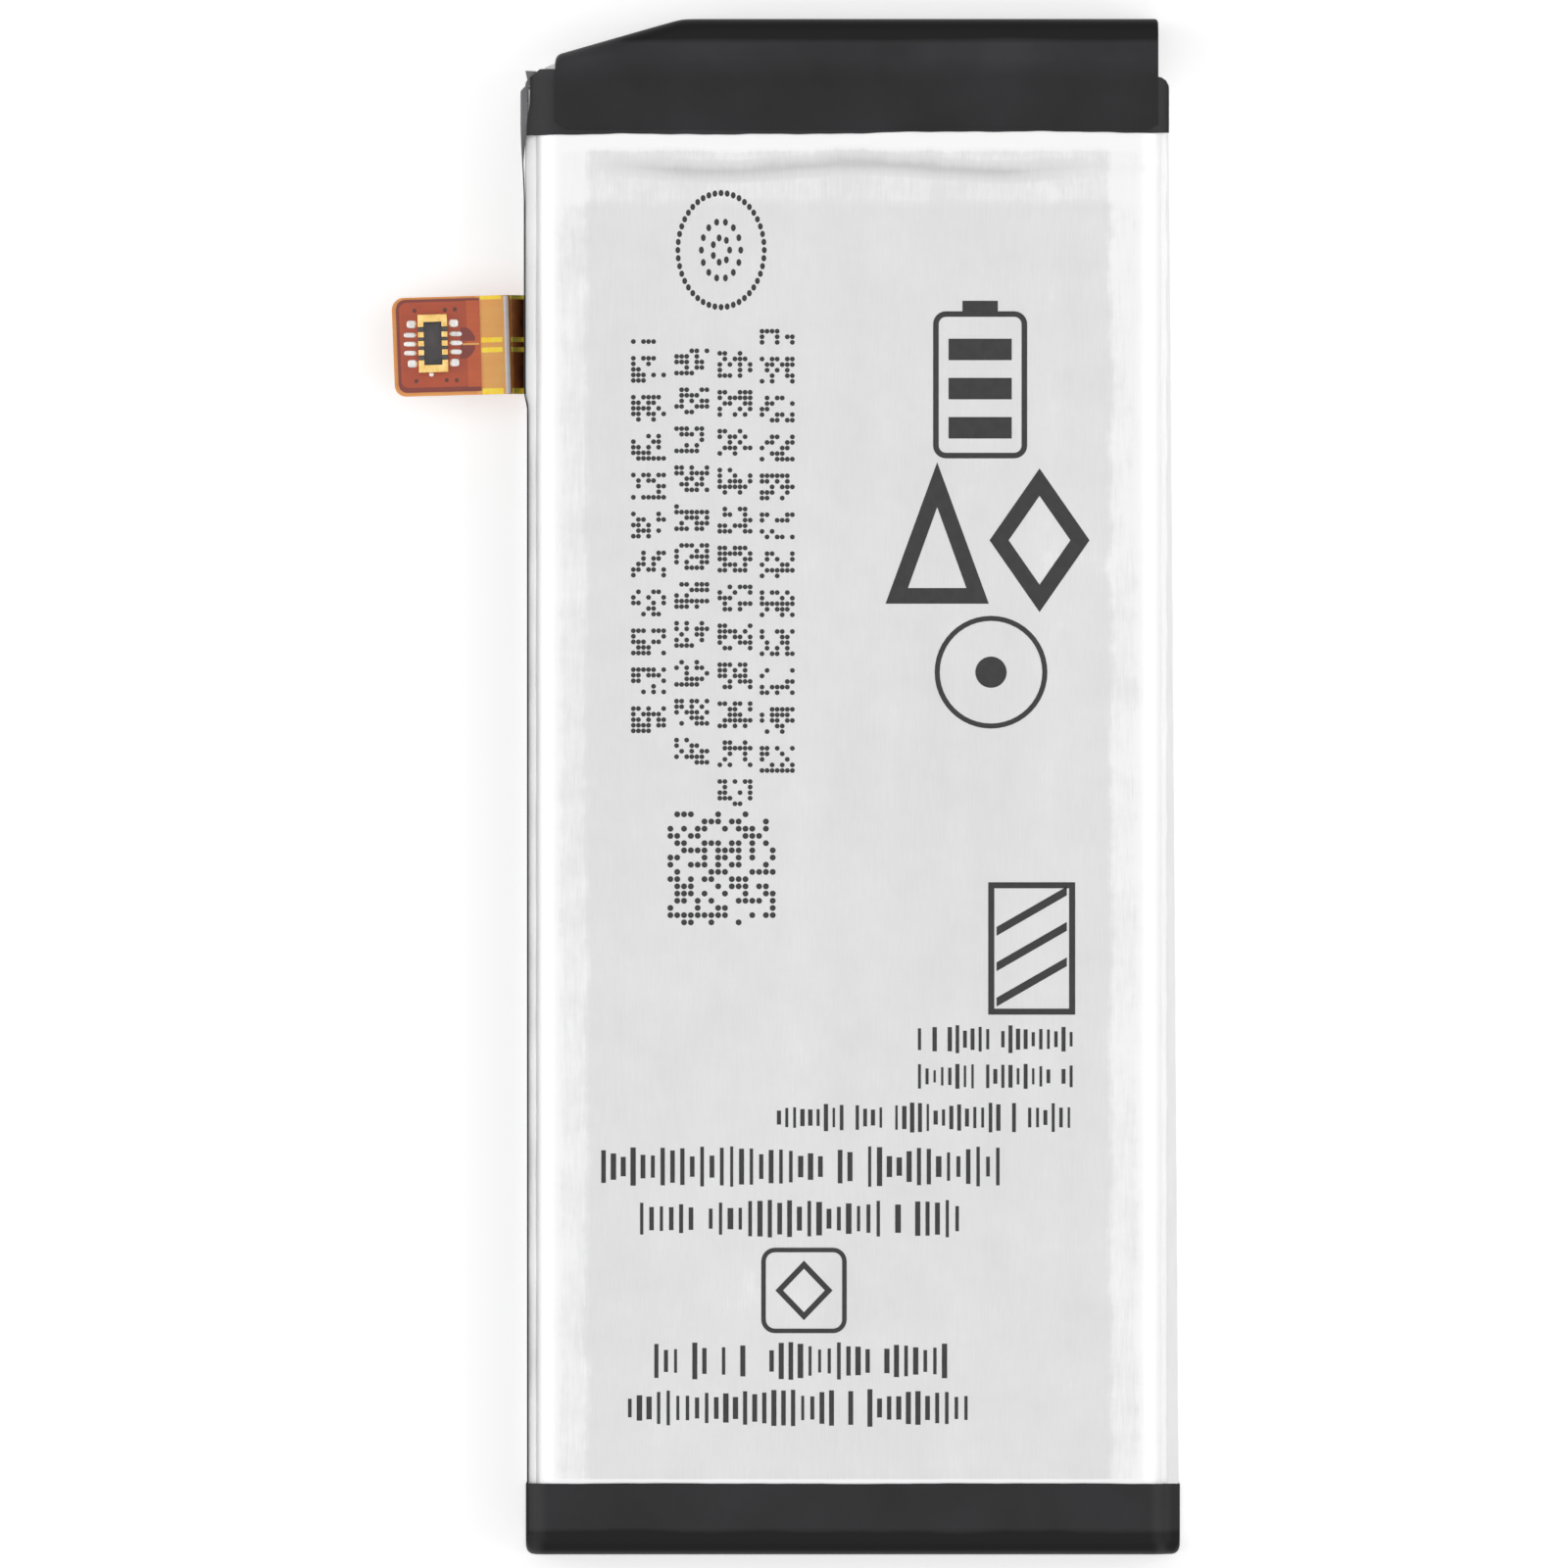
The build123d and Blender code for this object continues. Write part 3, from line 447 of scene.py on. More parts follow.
# %% inner finishes
inner = {
    "anode": plastic_material("graphite_coat", (38, 38, 40), (56, 56, 58), 0.75, 24000, 0.2),
    "cathode": plastic_material("oxide_coat", (28, 28, 31), (44, 44, 48), 0.7, 20000, 0.2),
    "separator_inner": plastic_material("separator_film", (232, 232, 226), (246, 246, 242), 0.5, 9000),
    "roll_stop_tape": plastic_material("stop_tape_film", (60, 120, 70), (72, 136, 84), 0.4, 1200),
    "roll_bond": plastic_material("bond_film", (196, 198, 190), (214, 216, 208), 0.5, 1800),
    "positive_tab": metal_material("tab_aluminium", (196, 198, 202), (222, 224, 228), 0.36),
    "negative_tab": metal_material("tab_nickel", (182, 180, 174), (206, 204, 198), 0.34),
    "positive_sealant": plastic_material("tab_sealant_film", (208, 204, 190), (226, 222, 210), 0.45),
    "circuit_board": plastic_material("board_mask", (18, 70, 44), (28, 88, 56), 0.38, 1600),
    "protection_ics": plastic_material("chip_epoxy", (26, 26, 27), (38, 38, 39), 0.55, 9000),
    "resistors": plastic_material("resistor_glaze", (30, 30, 34), (42, 42, 46), 0.4, 4000),
    "capacitors": plastic_material("capacitor_ceramic", (150, 118, 84), (172, 138, 100), 0.5, 5000),
    "positive_weld_plate": metal_material("plate_nickel", (186, 184, 178), (212, 210, 204), 0.34),
    "board_insulator": plastic_material("insulating_paper", (60, 62, 58), (78, 80, 76), 0.8, 7000, 0.2),
    "tab_cover_tape": plastic_material("cover_tape_film", (206, 168, 84), (222, 184, 100), 0.4, 1500),
}
same_finish = {
    "separator_outer": "separator_inner",
    "negative_sealant": "positive_sealant",
    "mosfets": "protection_ics",
    "thermistor": "capacitors",
    "negative_weld_plate": "positive_weld_plate",
}


def dress(node, material):
    """Give a CAD node a material; its mesh stays as packed."""
    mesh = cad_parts[node].data
    mesh.materials.clear()
    mesh.materials.append(material)


for node, material in inner.items():
    dress(node, material)
for node, other in same_finish.items():
    dress(node, inner[other])
print("inner pieces dressed", len(inner) + len(same_finish))

# %% [markdown]
# The cup of the pouch is foil pressed over a punch. Its long edges have a generous drawn
# radius, its ends a smaller one, and its face is not a plane: it sinks a little where the
# winding pulls it in, and buckles in a shallow wave beside the tape at the board end. A grid
# of points is laid round the cross-section at many stations along the cell, and the face
# points are moved in and out by a few hundredths of a millimetre.

# %% pouch: drawn cup
cup_box = span("pouch_cup")
cell_half = 12.42
cup_front = cup_box[1][2]
cup_low = -30.33
cup_high = 28.0
side_radius, end_radius, plan_radius = 1.0, 0.7, 0.45
wave_start = 22.6
print("cup front at", round(cup_front, 2), "from the back face at 0")


def face_relief(x, y):
    """How far the front face stands off its plane, in millimetres."""
    inside = smoothstep(12.0, 10.4, np.abs(x)) * smoothstep(27.0, 22.5, y) * smoothstep(-29.5, -26, y)
    pressed = -0.030 * inside
    imprint = -0.016 * smoothstep(10.5, 10.25, np.abs(x - 0.1)) * smoothstep(23.3, 22.9, y)
    crest = 25.5 + 0.22 * np.sin(0.55 * x + 0.4) + 0.12 * np.sin(1.3 * x)
    fade = smoothstep(-12, -7, x) * (1 - 0.45 * smoothstep(2.0, 5.0, x)) + 0.45 * smoothstep(4, 8, x)
    trough = -0.085 * bump_line(y, crest - 0.95, 0.40) * np.clip(fade, 0, 1.2)
    ridge = 0.030 * bump_line(y, crest - 0.05, 0.30) * smoothstep(-11.5, -9, x)
    low_wave = 0.012 * np.sin(0.21 * y + 0.9) * np.sin(0.33 * x + 1.1) * inside
    return pressed + imprint + trough + ridge + low_wave


def cup_section(half, height):
    """Points round the cup's section from the left foot, over the face, to the right foot."""
    radius = min(side_radius, half, height)
    turn = np.linspace(0, math.pi / 2, 9)
    left = [(-half, z) for z in np.linspace(0.11, height - radius, 7)[:-1]]
    left += [(-half + radius * (1 - math.cos(a)), height - radius * (1 - math.sin(a))) for a in turn]
    across = [(x, height) for x in np.linspace(-half + radius, half - radius, 161)[1:-1]]
    right = [(-x, z) for x, z in reversed(left)]
    return np.array(left + across + right)


def rounding(radius, inset):
    """How far a rounded edge has fallen back at a distance in from it."""
    return radius - math.sqrt(max(radius**2 - max(radius - inset, 0) ** 2, 0))


def build_cup():
    ends = end_radius * (1 - np.cos(np.linspace(0, math.pi / 2, 8)))
    stations = list(cup_low + ends)
    stations += list(np.linspace(cup_low + end_radius, wave_start, 96)[1:-1])
    stations += list(np.linspace(wave_start, cup_high - end_radius, 66)[:-1])
    stations += list((cup_high - ends)[::-1])
    rows = []
    for y in stations:
        inset = min(y - cup_low, cup_high - y)
        level = cup_front - rounding(end_radius, inset)
        section = cup_section(cell_half - rounding(plan_radius, inset), level)
        relief = face_relief(section[:, 0], np.full(len(section), y))
        on_face = smoothstep(level - 0.9, level, section[:, 1])
        z = section[:, 1] + relief * on_face
        rows.append(np.column_stack([section[:, 0], np.full(len(section), y), z]))
    points = np.array(rows)
    count, around = points.shape[:2]
    faces = grid_faces(count, around)
    flat = points.reshape(-1, 3)
    for row, order in ((0, 1), (count - 1, -1)):
        faces.append(tuple(range(row * around, (row + 1) * around))[::order])
    left_foot = [r * around for r in range(count)]
    right_foot = [r * around + around - 1 for r in range(count)]
    for a, b, c, d in zip(left_foot, left_foot[1:], right_foot[1:], right_foot):
        faces.append((a, b, c, d))
    return mesh_object("pouch_face", flat, faces, foil)


pouch_face = build_cup()
report(pouch_face)

# %% [markdown]
# The pack's top left corner is cut off at a slant. The back sheet and the tape over the board
# both follow it, so the slant's sizes are named once here, before either sheet is made.

# %% sizes of the slant
wrap_left, wrap_right = -11.62, 12.25
slant_foot, slant_end = 28.95, -6.60
top_y = 30.39
slant_run = (slant_end - wrap_left) / (top_y - slant_foot)
print("slant angle", round(math.degrees(math.atan(1 / slant_run)), 1), "degrees")

# %% [markdown]
# The back of the pouch is a flat sheet that turns up at both sides. At the right it is folded
# up beside the cup and springs away towards the bottom end; at the left the side tape holds it
# flat to the wall. Each fold is two sheets of foil with a cut edge, so it is a thin wall with
# a rounded foot, and its edge leans on the cup's shoulder. The foot and the top edge carry a
# slow wave, as a hand-folded seal does.

# %% pouch: folded seals
seal_inside = cell_half + 0.02
seal_outside = seal_inside + 0.22
seal_top = 2.90
seal_low, seal_high = -29.88, 28.0
fold_shift = 0.06
strip_bulge = (14.9, 15.7)


def seal_lean(y):
    """How far the right seal stands off the wall at a place along the cell."""
    along = np.clip((seal_high - y) / (seal_high - seal_low), 0, 1)
    return 0.44 * along**0.85


def seal_lip(side, y, top):
    """The fold's edge, lying on the cup's shoulder; at the left it reaches over the strip."""
    shoulder = cell_half - 0.07
    rest = [(12.50, top + 0.03), (12.44, top + 0.06), (shoulder, top + 0.09), (shoulder, top + 0.01)]
    if side > 0:
        return [(seal_outside - fold_shift - 0.04, top)] + rest
    reach = 12.69 + 0.11 * float(smoothstep(*strip_bulge, y))
    return [(reach, top - 0.03), (reach - 0.02, top)] + rest


def build_seal(side):
    corner, foot_top = 0.12, 0.4
    turn = np.linspace(0, math.pi / 2, 6)
    rows = []
    for y in np.linspace(seal_low, 27.5 if side > 0 else 27.9, 150):
        lean = seal_lean(y) if side > 0 else 0.0
        wave = 0.018 * math.sin(0.9 * y) + 0.012 * math.sin(2.3 * y + 1.0)
        top = seal_top - 0.05 + wave
        edge = seal_outside + lean
        foot = [(edge - corner + corner * math.sin(a), corner * (1 - math.cos(a))) for a in turn]
        rise = []
        wall_top = top - 0.04 if side > 0 else 2.76
        for k, z in enumerate(np.linspace(foot_top, wall_top, 8)):
            tuck = (lean + fold_shift) * (z - foot_top) / (wall_top - foot_top)
            rise.append((edge - tuck - 0.006 * math.sin(1.7 * y + k), z))
        down = [(seal_inside, 1.6), (seal_inside + 0.3 * lean, 0.24)]
        base = [(cell_half - 0.3, 0.22), (cell_half - 0.3, 0.0)]
        ring = foot + rise + seal_lip(side, y, top) + down + base
        rows.append([(side * x, y, z) for x, z in ring])
    points = np.array(rows)
    count, around = points.shape[:2]
    faces = stack_faces(0, count, around)
    name = "pouch_seal_right" if side > 0 else "pouch_seal_left"
    return mesh_object(name, points.reshape(-1, 3), faces, foil_fold)


seal_right = build_seal(1)
seal_left = build_seal(-1)
for made in (seal_right, seal_left):
    report(made)

# %% [markdown]
# The back sheet itself is nearly flat, so it is a grid between two levels with a faint dish in
# it. The dish fades at both ends, where the tape caps hold the sheet down.

# %% pouch: back sheet
back_low, back_high = -30.24, 29.72
back_half, back_columns = 12.2, 70
foil_pair = 0.20


def build_back():
    """Back sheet, from the bottom end to the end of the top seal."""
    grid = []
    for y in np.linspace(back_low, back_high, 150):
        half = 12.15 if y < seal_high else 12.15 - 0.35 * (y - seal_high) / 1.75
        left = max(-half, wrap_left + 0.7 + (y - slant_foot) * slant_run) if y > 28.2 else -half
        row = []
        for x in np.linspace(-back_half, back_half, back_columns):
            place = left + (x + back_half) * (half - left) / (2 * back_half)
            dish = 0.018 * math.sin(0.25 * place + 1.3) * math.sin(0.17 * y + 0.6) + 0.02
            row.append((place, y, dish * min(1.0, (y + 30.3) / 3, (back_high - y) / 2)))
        grid.append(row)
    outside = np.array(grid)
    return shell("pouch_back", outside, outside + np.array([0, 0, foil_pair]), foil)


pouch_back = build_back()
report(pouch_back)
for made, nodes in (
    (pouch_face, ["pouch_cup"]),
    (pouch_back, ["pouch_cover"]),
    (seal_right, []),
    (seal_left, []),
):
    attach(made, "pack")
    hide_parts(*nodes)

# %% [markdown]
# The tape caps are strips of film bent over the pack's ends. Each is one sheet that follows a
# profile from the back, over the end, to the front, so it is made as a grid: one way along
# the profile and the other way across the pack, with a second grid one film thickness inside.
# The front edge is cut by hand, so it wanders by a few hundredths of a millimetre.

# %% tape helpers
FILM = 0.05


def rounded_path(corners, radius, step=0.12):
    """Points along a path of straight runs with rounded corners, with one radius or one for each."""
    corners = [np.array(c, float) for c in corners]
    out = [corners[0]]
    radii = radius if isinstance(radius, tuple) else (radius,) * len(corners)
    for before, at, after, radius in zip(corners, corners[1:], corners[2:], radii):
        u = (before - at) / np.linalg.norm(before - at)
        v = (after - at) / np.linalg.norm(after - at)
        reach = min(radius, np.linalg.norm(before - at) / 2.01, np.linalg.norm(after - at) / 2.01)
        for t in np.linspace(0, 1, 9):
            a, b = at + u * reach * (1 - t), at + v * reach * t
            out.append(a * (1 - t) + b * t if reach else at)
    out.append(corners[-1])
    path = [out[0]]
    for p in out[1:]:
        gap = np.linalg.norm(p - path[-1])
        if gap < 1e-6:
            continue
        count = max(1, int(gap / step))
        for k in range(1, count + 1):
            path.append(path[-1] + (p - path[-1]) / (count - k + 1))
    return np.array(path)


def path_normals(path):
    """Unit normals to the left of a path's direction."""
    ahead = np.gradient(path, axis=0)
    ahead /= np.linalg.norm(ahead, axis=1)[:, None]
    return np.column_stack([-ahead[:, 1], ahead[:, 0]])


def path_lengths(path):
    """Distance along a path to each of its points."""
    return np.concatenate([[0], np.cumsum(np.linalg.norm(np.diff(path, axis=0), axis=1))])


def path_at(path, marks):
    """Points of a path at some distances along it."""
    lengths = path_lengths(path)
    return np.column_stack([np.interp(marks, lengths, path[:, i]) for i in (0, 1)])


def film_faces(x, path, normals):
    """A profile in Y and Z at one X, and the same one film thickness inside it."""
    outside = [(x, y, z) for y, z in path]
    inside = [(x, y - n[0] * FILM, z - n[1] * FILM) for (y, z), n in zip(path, normals)]
    return outside, inside


def noise_line(values, seed, size):
    """Smooth wandering line made of a few sines with seeded phases."""
    phases = np.random.default_rng(seed).uniform(0, 6.28, 4)
    rates = (0.45, 1.1, 2.3, 4.9)
    waves = sum(np.sin(values * f + p) / (1 + k) for k, (f, p) in enumerate(zip(rates, phases)))
    return size * waves / 2.0


print("tape film", FILM, "mm thick")

# %% [markdown]
# The lower band lies over the pouch's end, below the upper wrap. It is bent over both drawn
# shoulders, and its sides lie on the folded seals, so its section is an arch that levels out
# at a shelf on each side. Its ends are cut by hand: a clipped corner and a round one.

# %% lower band
band_box = span("tape_top_lower")
upper_box = span("tape_top_upper")
cap_box = span("tape_bottom")
band_top_z, shelf_z = 3.74, 3.09
print("band", np.round(band_box, 2), "upper", np.round(upper_box, 2), "cap", np.round(cap_box, 2))


def band_lower_edge(x):
    """Front edge of the lower band: level at the left, wandering, a little higher at the right."""
    return 25.80 + 0.10 * smoothstep(-6, 3, x) + noise_line(x, 5, 0.05)


def band_upper_edge(x):
    """The band's upper end: a clipped corner at the left, a round one at the right."""
    right = np.clip((x - 12.22) / 0.46, 0, 1)
    left = np.clip((-12.22 - x) / 0.3, 0, 1)
    level = 28.40 - 0.30 * smoothstep(-11.9, -9.0, x)
    return level - 0.46 * (1 - np.sqrt(np.clip(1 - right**2, 0, 1))) - 0.42 * left**1.3


def build_band():
    radius = side_radius + 0.05
    half = cell_half + 0.06
    turn = np.linspace(0, math.pi / 2, 10)[1:]
    drop = [radius * (1 - math.cos(a)) for a in turn]
    left = [(-half + radius * (1 - math.sin(a)), band_top_z - d) for a, d in zip(turn, drop)]
    right = [(half - radius + radius * math.sin(a), band_top_z - d) for a, d in zip(turn, drop)]
    level = [(x, band_top_z) for x in np.linspace(-half + radius, half - radius, 110)]
    profile = np.array(left[::-1] + level + right)
    rows_out, rows_in = [], []
    normals = path_normals(profile)
    for t in np.linspace(0, 1, 26):
        row_out, row_in = [], []
        for (x, z), n in zip(profile, normals):
            share = float(np.clip((3.30 - z) / 0.35, 0, 1))
            z = max(z, shelf_z)
            low = float(band_lower_edge(x))
            high = float(band_upper_edge(x + 0.20 * share)) if x > 0 else float(band_upper_edge(x))
            y = low + (high - low) * t
            spread = 0.20 if x > 0 else -0.14 - 0.13 * float(smoothstep(27.2, 26.0, y))
            place = x + spread * share
            row_out.append((place, y, z))
            row_in.append((place - n[0] * FILM * (1 - share), y, z - max(n[1], share) * FILM))
        rows_out.append(row_out)
        rows_in.append(row_in)
    return shell("tape_lower_band", np.array(rows_out), np.array(rows_in), band_film)


lower_band = build_band()
report(lower_band)

# %% [markdown]
# The upper wrap is the widest piece of tape. It comes from the back, over the board, and down
# on the lower band. Its left corner is cut off at a slant so that the pack clears a screw
# boss. It is printed on the same black film, and pulls tight over the board's edge.

# %% upper wrap
upper_front_z, upper_back_z = 3.80, -0.06
front_low = 25.98
left_corner, right_corner, foot_corner = 0.24, 0.14, 0.38


def slant_top(x):
    """Highest place of the wrap at x: the slant at the left, blended into the level top."""
    straight = slant_foot + (top_y - slant_foot) * (x - wrap_left) / (slant_end - wrap_left)
    soft = 0.5
    gap = straight - top_y
    return top_y + 0.5 * (gap - np.sqrt(gap**2 + (0.12 * soft) ** 2))


def wrap_lower_edge(x):
    return front_low + 0.02 + noise_line(x, 9, 0.03)


def build_upper_wrap():
    near_edge = np.array([0.0, 0.05, 0.12, 0.22, foot_corner])
    middle = np.linspace(wrap_left + 0.6, wrap_right - 0.6, 150)
    columns_out, columns_in = [], []
    for x in np.concatenate([wrap_left + near_edge, middle, wrap_right - near_edge[::-1]]):
        from_left, from_right = x - wrap_left, wrap_right - x
        top = float(slant_top(x))
        top -= rounding(left_corner, from_left) + rounding(right_corner, from_right)
        corner = 0.30 * (1 - smoothstep(0, foot_corner, min(from_left, from_right)))
        low = float(wrap_lower_edge(x)) + (corner if x < 0 else corner * 0.6)
        front = [(low, upper_front_z), (top, upper_front_z)]
        path = rounded_path(front + [(top, upper_back_z), (low, upper_back_z)], 0.70, 5.0)
        full = path_lengths(path)[-1]
        marks = np.concatenate([
            np.linspace(0, full * 0.36, 26)[:-1],
            np.linspace(full * 0.36, full * 0.64, 52)[:-1],
            np.linspace(full * 0.64, full, 26),
        ])
        path = path_at(path, marks)
        normals = path_normals(path)
        sag = 0.035 * bump_line(path[:, 0], 28.3, 0.55) * (path[:, 1] > 3.5)
        path[:, 1] -= sag * smoothstep(-9, -5, x)
        outside, inside = film_faces(x, path, normals)
        columns_out.append(outside)
        columns_in.append(inside)
    return shell("tape_upper_wrap", np.array(columns_out), np.array(columns_in), black_film)


upper_wrap = build_upper_wrap()
report(upper_wrap)

# %% [markdown]
# The bottom cap is a shorter piece of the same film, folded over the closed end and a little
# way up the front. Its sides reach over the folded seals, so its right end is wider.

# %% bottom cap
cap_left, cap_right, cap_corner = -12.78, 13.11, 0.34
cap_low, cap_high = -30.39, -27.57
cap_radii = (0.70, 0.18)


def build_bottom_cap():
    left_edge = cap_left + np.array([0.0, 0.05, 0.12, 0.22])
    right_edge = cap_right - np.array([0.31, 0.19, 0.09, 0.03, 0.0])
    columns_out, columns_in = [], []
    for x in np.concatenate([left_edge, np.linspace(-12.40, 12.65, 130), right_edge]):
        low = cap_low + rounding(cap_corner, min(x - cap_left, cap_right - x))
        high = cap_high + float(noise_line(np.array(x), 21, 0.02))
        front = band_top_z - 0.75 * float(smoothstep(12.0, 12.75, abs(x)))
        corners = [(high, front), (low, front), (low, upper_back_z), (high, upper_back_z)]
        path = rounded_path(corners, cap_radii, 5.0)
        path = path_at(path, np.linspace(0, path_lengths(path)[-1], 90))
        outside, inside = film_faces(x, path, -path_normals(path))
        columns_out.append(outside)
        columns_in.append(inside)
    return shell("tape_bottom_cap", np.array(columns_out), np.array(columns_in), cap_film)


bottom_cap = build_bottom_cap()
report(bottom_cap)

taped = ((lower_band, "tape_top_lower"), (upper_wrap, "tape_top_upper"), (bottom_cap, "tape_bottom"))
for made, node in taped:
    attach(made, "pack")
    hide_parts(node)

# %% [markdown]
# Small hard parts, such as the connector's body and its contacts, are already the right shape
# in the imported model. What they lack is the soft edge that moulded and stamped parts have, so
# a copy is merged and bevelled by a few hundredths of a millimetre, and stands for the node.

# %% softened copies
def soft_copy(node, name, material, width, body):
    """Copy of a CAD node with its edges rounded by a width in millimetres."""
    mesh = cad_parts[node].data.copy()
    work = bmesh.new()
    work.from_mesh(mesh)
    bmesh.ops.remove_doubles(work, verts=work.verts, dist=2e-7)
    bmesh.ops.dissolve_limit(work, angle_limit=math.radians(1), verts=work.verts, edges=work.edges)
    bmesh.ops.recalc_face_normals(work, faces=work.faces)
    work.to_mesh(mesh)
    work.free()
    mesh.materials.clear()
    mesh.materials.append(material)
    made = add_object(name, mesh)
    bevel = made.modifiers.new("edge", "BEVEL")
    bevel.width = width * MM
    bevel.segments = 2
    bevel.limit_method = "ANGLE"
    bevel.angle_limit = math.radians(40)
    shaped = plain_mesh(made)
    for face in shaped.polygons:
        face.use_smooth = True
    shaped.set_sharp_from_angle(angle=math.radians(35))
    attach(made, body)
    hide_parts(node)
    return made


housing = soft_copy("connector_housing", "connector_body", connector_plastic, 0.02, "tail")
signals = soft_copy("signal_contacts", "connector_signals", contact_gold, 0.008, "tail")
powers = soft_copy("power_contacts", "connector_powers", contact_gold, 0.04, "tail")
for made in (housing, signals, powers):
    report(made)

# %% [markdown]
# The flexible circuit runs on its edge along the left wall, between the folded seal and a
# strip of black film. At the board end it turns the corner under the upper wrap and lies on
# the board. It is a band of film, so a path seen from above is given a thickness and a height.

# %% helper for bands that stand on edge
def standing_band(name, path, thickness, heights, material):
    """Film on its edge: a path in X and Y, and the heights of its lower and upper edge."""
    low, high = heights
    normals = path_normals(path) * thickness / 2
    outside, inside = [], []
    for share in np.linspace(0, 1, 12):
        z = low + (high - low) * share
        outside.append([(x, y, z) for x, y in path + normals])
        inside.append([(x, y, z) for x, y in path - normals])
    return shell(name, np.array(outside), np.array(inside), material)


# %% circuit strip along the wall
tail_half = 1.96
tail_centre = 17.52
strip_x = -12.745
wall_corner = (strip_x, 28.00)
board_run = [(-11.30, 28.22), (-6.6, 29.83), (-4.6, 29.83)]
strip_path = rounded_path([(strip_x, tail_centre - tail_half), wall_corner, *board_run], 0.30, 0.25)
strip = standing_band("circuit_strip", strip_path, 0.07, (1.0, 2.70), amber_strip)
report(strip)

# %% [markdown]
# The side tape is one length of black film. Beside the strip it stands further out and folds
# over the strip's top edge, wide and loose at the board end and tight after a few
# millimetres. Below the tail it lies on the folded seal, and shows from above as a thin line.

# %% side tape
def tape_wall(y):
    """Outer face of the side tape."""
    step = 0.125 * smoothstep(*strip_bulge, y)
    end = np.clip((y - 27.5) / 0.2, 0, 1)
    return -12.735 - step - 0.13 * smoothstep(23.0, 26.4, y) + 0.15 * (1 - np.sqrt(1 - end**2))


def build_side_tape():
    """Tape from its bottom end to the board end, with a notch that the tail comes out of."""
    thickness, edge_low, notch_low = 0.04, 0.30, 1.15
    out_rows, in_rows = [], []
    for y in np.concatenate([np.linspace(-29.6, 14.8, 150), np.linspace(15.0, 27.7, 80)]):
        wall = float(tape_wall(y))
        over = 0.014 + 0.26 * float(smoothstep(24.2, 26.4, y))
        top = 3.02 + 0.015 * math.sin(0.8 * y) - 0.12 * float(smoothstep(26.9, 27.7, y)) ** 2
        low = notch_low if abs(y - tail_centre) < tail_half + 0.16 else edge_low
        path = rounded_path([(wall, low), (wall, top), (wall + over, top + 0.01)], 0.05, 5.0)
        turn = top - low - 0.1
        up, folded = np.linspace(0, turn, 12)[:-1], np.linspace(turn, path_lengths(path)[-1], 14)
        path = path_at(path, np.concatenate([up, folded]))
        inner = path - path_normals(path) * thickness
        out_rows.append([(x, y, z) for x, z in path])
        in_rows.append([(x, y, z) for x, z in inner])
    return shell("tape_side_film", np.array(out_rows), np.array(in_rows), side_film)


side_tape = build_side_tape()
report(side_tape)


def build_corner_flap():
    """Loose corner of tape beside the lower band's upper left end."""
    right = [(-12.36, 28.32), (-12.44, 28.05), (-12.60, 27.78)]
    outline = [(-12.80, 28.34), *right, (-12.66, 27.72), (-12.74, 28.05)]
    upper = [(x, y, 2.97 + 0.1 * (x + 12.8)) for x, y in outline]
    lower = [(x, y, z - 0.04) for x, y, z in upper]
    faces = prism_faces(0, len(outline))
    return mesh_object("tape_corner_flap", upper + lower, faces, side_film, smooth=False)


corner_flap = build_corner_flap()
fold_path = rounded_path([(strip_x, 27.1), wall_corner, (-11.75, 28.15)], 0.30)
corner_fold = standing_band("tape_corner_fold", fold_path, 0.12, (0.95, 2.92), side_film)
for made in (corner_flap, corner_fold):
    report(made)

# %% [markdown]
# Where the circuit leaves the wall it hooks down and out, rises, and is creased flat to make
# the free tail. The tail is seen from above as amber film with a thin cover layer, four gold
# copper stripes, and at the free end a brown solder mask round the connector. The film crosses
# the crease as one mesh; each stripe is cut in two there, one part on each body.

# %% ribbon frame: along the tail, across it, and up
crease_x, crease_z = -13.53, 1.75
skew = math.radians(1.6)
crease_turn = -0.030
tail_length = 4.51
free_end, tail_z = crease_x - tail_length, crease_z - 0.025
end_radius_out, end_radius_in = 0.47, 0.4


def tail_shift(x):
    """The free end sits a little towards the bottom of the pack."""
    return -np.tan(skew) * np.clip(crease_x - x, 0, None)


def end_steps(x_start, radius):
    """Extra places in X near the free end, so that its round corners are smooth."""
    return [x_start + radius * (1 - math.cos(a)) for a in np.linspace(0, math.pi / 2, 9)]


def build_ribbon_path():
    """The ribbon seen from its side: down beside the wall, out, up to the crease, then flat."""
    hook = [(-12.80, 1.60), (-12.80, 0.70), (crease_x + 0.04, crease_z - 0.03)]
    path = rounded_path(hook + [(free_end, tail_z)], 0.16, 0.07)
    bent = [p for p in path if p[0] >= crease_x - 0.3]
    steps = end_steps(free_end, end_radius_out) + end_steps(free_end + 0.24, end_radius_in)
    flat = [p for p in path if p[0] < crease_x - 0.3] + [np.array((x, tail_z)) for x in steps]
    path = np.array(bent + sorted(flat, key=lambda p: -p[0]))
    apart = np.linalg.norm(np.diff(path, axis=0), axis=1) > 1e-4
    return path[np.concatenate([[True], apart])]


ribbon_path = build_ribbon_path()
print("ribbon path points", len(ribbon_path))


# %% helper for sheets on the ribbon
def inset(low, high):
    """Offsets across the tail, a margin in from each edge."""
    return -tail_half + low, tail_half - high


